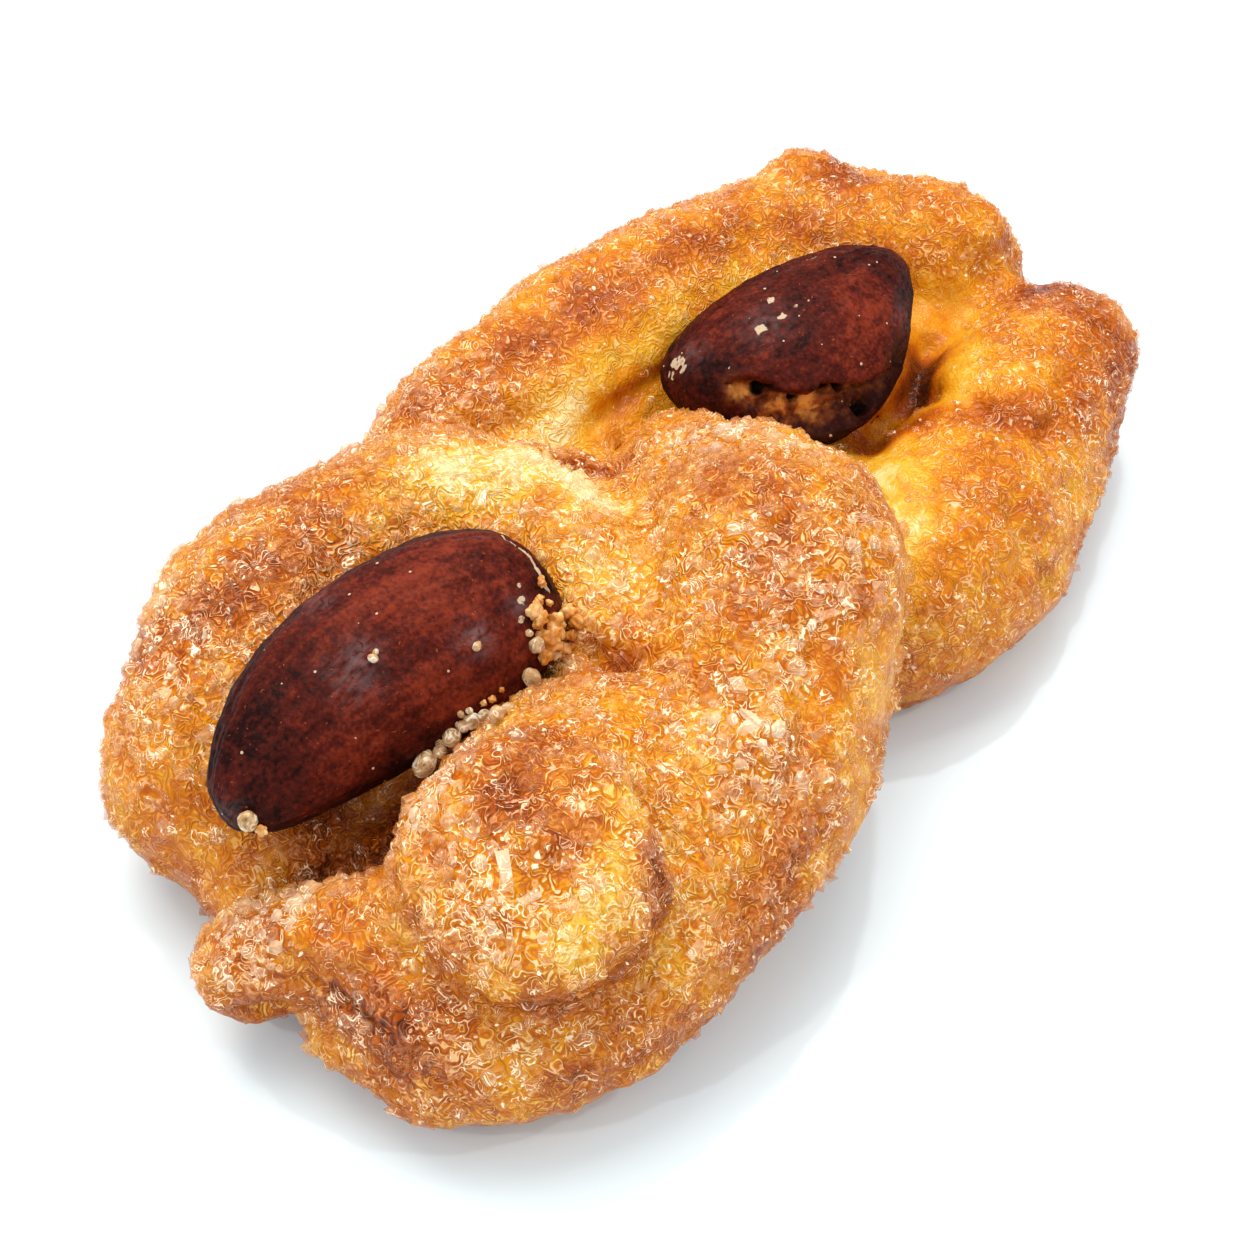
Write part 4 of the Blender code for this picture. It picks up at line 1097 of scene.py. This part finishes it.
def painted(shader, *names, output="Fac"):
    # wires from the layers painted on the mesh
    layers = (addNode(shader.id_data, "ShaderNodeAttribute", attribute_name=name) for name in names)
    return [Wire(layer.outputs[output]) for layer in layers]


crustSurface = {
    "cells": {"Size": 0.95, "Curl": 0.8, "Turns": 36.0},
    "smoothWhereBare": (-0.8, 1.0), "finerFarOff": (1.25, -0.25),
    "gapTone": 0.46, "highlightLineTone": 0.55, "chanceTone": (0.3, -0.05),
    "frostWhite": (0.75, 0.16), "sugarWhite": (0.8, 0.2), "sparkWhite": 0.6, "brightWhite": 0.8,
    "whiteWhereDark": (-0.5, 1.0), "roughness": (0.2, 0.18), "specular": 0.25,
    "fineSize": 0.3, "fineHeight": 0.7, "bump": (0.7, 0.2),  # strength, depth
}


def crustFinish(groups):
    look = crustSurface
    finish, shader, place = newFinish("crust")
    brownedAndShaded, sugared, frost, bare, grain = painted(shader, "brownedAndShaded", "sugar", "frost", "bare", "grain")
    cells = useGroup(groups["facets"], Place=place, **look["cells"])
    grainy = bare.graded(look["smoothWhereBare"]) * grain.graded(look["finerFarOff"])
    # the painted highlight lines make the tone paler
    deep = cells["Gap"] * look["gapTone"] - cells["Line"] * look["highlightLineTone"]
    deep = deep + cells["Chance"].graded(look["chanceTone"])
    tone = useGroup(groups["uneven"], Tone=brownedAndShaded, Place=place, **patches)["Tone"]
    colour = useGroup(groups["baked"], Browned=deep * grainy + tone)["Colour"]
    # white: the painted highlight lines on the sugar, and painted glints from dots and sparks
    white = cells["Line"] * frost.graded(look["frostWhite"]) * grainy * sugared.graded(look["sugarWhite"])
    bright = calc("MAXIMUM", cells["Dot"], cells["Spark"] * look["sparkWhite"])
    white = (bright * (sugared * look["brightWhite"]) + white).held()
    white = white * brownedAndShaded.graded(look["whiteWhereDark"]).held()
    fine = noiseAt(place, look["fineSize"], Detail=3.0)["Fac"]
    height = fine * look["fineHeight"] + cells["Height"] * grainy
    feedAll(shader, {
        "Base Color": mixed(white, colour, tones["sugarWhite"]),
        "Roughness": cells["Gap"].graded(look["roughness"]),
        "Specular IOR Level": look["specular"],
        "Normal": bumped(height, *look["bump"]),
    })
    return finish


crystalSurface = {
    "cells": {"Size": 1.05, "Curl": 0.8, "Turns": 38.0},
    "lit": (0.55, 0.95), "litPale": 0.35, "rimFade": 1.6,
    "paleTone": 0.6, "gapTone": 0.42, "tintTone": (0.3, -0.10),
    "tintWhite": (0.6, 0.10), "rimHighlightWhite": (0.65, 0.14), "whiteWhereDark": (-0.7, 1.0),
    "sparkWhite": (0.6, 0.6),
    "alpha": (1.1, 0.3), "roughness": 0.14, "specular": 0.6, "bump": (0.35, 0.08),
}


def crystalFinish(groups):
    look = crystalSurface
    finish, shader, place = newFinish("sugar_crystals")
    brownedAndShaded, frost, tint, glow, rimHighlight, grain = painted(
        shader, "brownedAndShaded", "frost", "tint", "glow", "rimHighlight", "grain")
    cells = useGroup(groups["facets"], Place=place, **look["cells"])
    tone = useGroup(groups["uneven"], Tone=brownedAndShaded, Place=place, **patches)["Tone"]
    # pale: the painted highlight lines, and painted light where the points gather it
    pale = calc("MAXIMUM", cells["Line"], band(glow, *look["lit"]) * look["litPale"])
    tone = tone - pale * look["paleTone"] + cells["Gap"] * look["gapTone"] + tint.graded(look["tintTone"])
    colour = useGroup(groups["baked"], Browned=tone)["Colour"]
    paintedHighlights = calc("MAXIMUM", pale, rimHighlight ** look["rimFade"])  # painted highlights on the edges of the clear grains
    white = tint ** 3.0 * frost.graded(look["tintWhite"])
    white = paintedHighlights * (frost.graded(look["rimHighlightWhite"]) * grain) + white
    white = white * brownedAndShaded.graded(look["whiteWhereDark"]).held()
    # painted glints: sparks and dots
    white = (cells["Spark"] * frost.graded(look["sparkWhite"]) + white + cells["Dot"]).held()
    feedAll(shader, {
        "Base Color": mixed(white, colour, tones["sugarWhite"]),
        "Alpha": white.graded(look["alpha"]).held(),
        "Roughness": look["roughness"],
        "Specular IOR Level": look["specular"],
        "Normal": bumped(cells["Height"], *look["bump"]),
    })
    return finish


nutSurface = {
    "stretch": 0.4, "veinTone": 1.6,
    "longPatches": {"PatchSize": 2.6, "PatchAmount": 0.8, "SpeckSize": 0.6, "SpeckAmount": 0.6},
    "patches": {"PatchSize": 0.9, "PatchAmount": 0.8, "SpeckSize": 0.28, "SpeckAmount": 1.1},
    "pithPatches": {"PatchSize": 1.1, "PatchAmount": 1.6, "SpeckSize": 0.4, "SpeckAmount": 0.8},
    "film": {"Size": 0.7, "Curl": 1.2, "Turns": 16.0},
    "smear": (-0.25, 0.32), "pith": (0.8, 0.46),
    "threadBend": (0.45, 0.9),  # how wide and how far the bends are
    "threads": (0.52, 0.16), "dots": (1.15, 0.10),  # how far apart, and the largest radius as a share of that
    "threadShare": 0.5,
    "flake": (0.46, 0.56), "flakeGap": (-0.6, 1.0), "flakeShare": 0.8,
    "roughness": (0.16, 0.40), "tornGloss": 0.14, "specular": 0.07,
    "grit": 0.55, "threadHeight": 0.3, "bump": (0.8, 0.16),
}


def nutFinish(groups):
    look = nutSurface
    finish, shader, place = newFinish("almond_skin")
    vein, skinTone, torn, kernel, hole, scuff, smear = painted(
        shader, "vein", "skinTone", "torn", "kernel", "hole", "scuff", "smear")
    ownPlace = painted(shader, "nutPlace", output="Vector")[0]  # in millimetres, drawn out along the nut
    given = {"Vector": ownPlace, "Scale": (look["stretch"] * mm, mm, mm)}
    stretched = wires(addNode(shader.id_data, "ShaderNodeMapping", given))["Vector"]
    tone = vein * look["veinTone"] + skinTone
    tone = useGroup(groups["uneven"], Tone=tone, Place=stretched, **look["longPatches"])["Tone"]
    tone = useGroup(groups["uneven"], Tone=tone, Place=place, **look["patches"])["Tone"]
    film = useGroup(groups["facets"], Place=place, **look["film"])
    colour = mixed(smear * film["Gap"].graded(look["smear"]), ramp(tone, tones["nut"]), tones["nutSmear"])

    inside = useGroup(groups["uneven"], Tone=kernel, Place=place, **look["pithPatches"])["Tone"]
    pith = ramp(inside.graded(look["pith"]), tones["nutTorn"])
    colour = mixed(calc("MAXIMUM", torn, kernel), colour, pith)

    bendSize, bend = look["threadBend"]  # bends the dots into short threads
    curled = shifted(place, noiseAt(place, bendSize)["Color"], bend * mm)
    flecks = []
    for where, (spacing, radius) in ((curled, look["threads"]), (place, look["dots"])):
        distance, chance = cellsAt(where, spacing)
        flecks.append(calc("LESS_THAN", distance, chance["Red"] * radius))
    threads, dots = flecks
    colour = mixed(threads * look["threadShare"], colour, tones["nutFibre"])
    flaked = band(scuff, *look["flake"]) * film["Gap"].graded(look["flakeGap"])
    colour = mixed(calc("MAXIMUM", dots, flaked) * look["flakeShare"], colour, tones["nutScuff"])
    grit = noiseAt(place, look["grit"], Detail=4.0, Roughness=0.65)["Fac"]
    feedAll(shader, {
        "Base Color": mixed(hole, colour, tones["nutHole"]),
        "Roughness": film["Chance"].graded(look["roughness"]) - torn * look["tornGloss"],
        "Specular IOR Level": look["specular"],
        "Normal": bumped(threads * look["threadHeight"] + grit, *look["bump"]),
    })
    return finish


crumbSurface = {
    "size": 1.8, "roughness": 0.3,
    "patches": {"PatchSize": 1.2, "PatchAmount": 1.2, "SpeckSize": 0.3, "SpeckAmount": 0.5},
}


def crumbFinish(groups):
    look = crumbSurface
    finish, shader, place = newFinish("crumb", Roughness=look["roughness"])
    tone = noiseAt(place, look["size"])["Fac"]
    tone = useGroup(groups["uneven"], Tone=tone, Place=place, **look["patches"])["Tone"]
    feed(shader.inputs["Base Color"], ramp(tone, tones["crumb"]))
    return finish


beadSurface = {
    "cells": {"Size": 0.9, "Curl": 0.8, "Turns": 30.0}, "cloud": 0.5, "highlightLineTone": 0.5,
    "alpha": (0.6, 0.35), "roughness": 0.08,
}


def beadFinish(groups):
    look = beadSurface
    finish, shader, place = newFinish("sugar_bead", Roughness=look["roughness"])
    cells = useGroup(groups["facets"], Place=place, **look["cells"])
    cloud = noiseAt(place, look["cloud"])["Fac"]
    # the painted highlight lines make the bead paler
    feed(shader.inputs["Base Color"], ramp(cells["Line"] * look["highlightLineTone"] + cloud, tones["bead"]))
    feed(shader.inputs["Alpha"], cloud.graded(look["alpha"]).held())
    return finish


def floorFinish():
    finish, shader, _ = newFinish("floor", Roughness=0.9)
    feed(shader.inputs["Base Color"], tones["floor"])
    feed(shader.inputs["Specular IOR Level"], 0.1)
    return finish


def wear(piece, finish):
    # puts on a finish and says where the piece belongs
    piece.data.materials.clear()
    piece.data.materials.append(finish)
    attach(piece, "root")


# the pieces

crust = risenDough()
bakeCrust(crust)
for name, form in almonds.items():
    layBed(crust, almondBed(f"{name}_bed", form))
paintCrust(crust)
nuts = {name: roastedAlmond(name, form) for name, form in almonds.items()}

groups = {"uneven": unevenGroup(), "baked": bakedGroup(), "facets": facetGroup()}
crystalLook = crystalFinish(groups)
coats = strewSugar(crust, crystalLook)

draw = random.Random(crumbs["seed"])
carried = bmesh.new()
for piece in (crust, *nuts.values()):
    carried.from_mesh(piece.data)
carriers = BVHTree.FromBMesh(carried)
carried.free()
bits = looseBits("bits", carriers, draw)
beads = looseBits("beads", carriers, draw)

crustLook = crustFinish(groups)
nutLook = nutFinish(groups)
wear(crust, crustLook)
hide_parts("dough")
for name, nut in nuts.items():
    wear(nut, nutLook)
    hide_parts(name)
for coat in coats:
    wear(coat, crystalLook)
    coat.visible_shadow = coat.visible_diffuse = False  # light passes through the clear grains
wear(bits, crumbFinish(groups))
wear(beads, beadFinish(groups))
print("finishes on")


# the studio

studio = {
    "azimuth": 33.0, "elevation": 47.0, "distance": 180.0,  # the camera, from the point it looks at
    "target": (2.8, -7.4, 10.0),
    "lens": 81.82,
    "sky": ((0.84, 0.93, 1.0), 0.98),
    "lights": {  # from which way, how far, how wide (metres), how strong, colour
        "key": ((-0.50, 0.32, 1.3), 0.6, 0.55, 3.4, (1.0, 0.94, 0.86)),
        "fill": ((0.75, -0.85, 0.9), 0.7, 0.50, 0.3, (1.0, 0.97, 0.93)),
        "glintHigh": ((-0.15, 0.45, 1.0), 0.5, 0.016, 0.36, (1.0, 1.0, 1.0)),
        "glintFront": ((-0.25, -0.90, 1.0), 0.5, 0.016, 0.22, (1.0, 1.0, 1.0)),
        "glintSide": ((0.70, 0.10, 1.0), 0.5, 0.016, 0.22, (1.0, 1.0, 1.0)),
    },
}


def studioLight(name, fromWay, away, size, power, colour):
    light = bpy.data.lights.new(name, "AREA")
    light.size = size
    light.energy = power
    light.color = colour
    lamp = bpy.data.objects.new(name, light)
    way = Vector(fromWay).normalized()
    lamp.location = way * away
    lamp.rotation_euler = way.to_track_quat("Z", "Y").to_euler()
    scene.collection.objects.link(lamp)


def studioCamera():
    across, up = math.radians(studio["azimuth"]), math.radians(studio["elevation"])
    back = Vector((math.sin(across) * math.cos(up), -math.cos(across) * math.cos(up), math.sin(up)))
    camera = bpy.data.objects.new("camera", bpy.data.cameras.new("camera"))
    camera.data.sensor_width = 36.0
    camera.data.lens = studio["lens"]
    camera.data.clip_start = 0.01
    camera.location = (Vector(studio["target"]) + back * studio["distance"]) * mm
    camera.rotation_euler = back.to_track_quat("Z", "Y").to_euler()
    scene.collection.objects.link(camera)
    scene.camera = camera


studioCamera()
for name, light in studio["lights"].items():
    studioLight(name, *light)
world = bpy.data.worlds.new("studio")
world.use_nodes = True
backdrop = world.node_tree.nodes["Background"]
backdrop.inputs["Color"].default_value = (*studio["sky"][0], 1.0)
backdrop.inputs["Strength"].default_value = studio["sky"][1]
world.cycles_visibility.glossy = False  # only the lamps and the floor are mirrored
scene.world = world
scene.view_settings.view_transform = "Standard"

ground = bmesh.new()
bmesh.ops.create_grid(ground, x_segments=1, y_segments=1, size=1.5)
floor = addObject("floor", meshFrom(ground, "floor"))
floor.data.materials.append(floorFinish())
print("studio set")
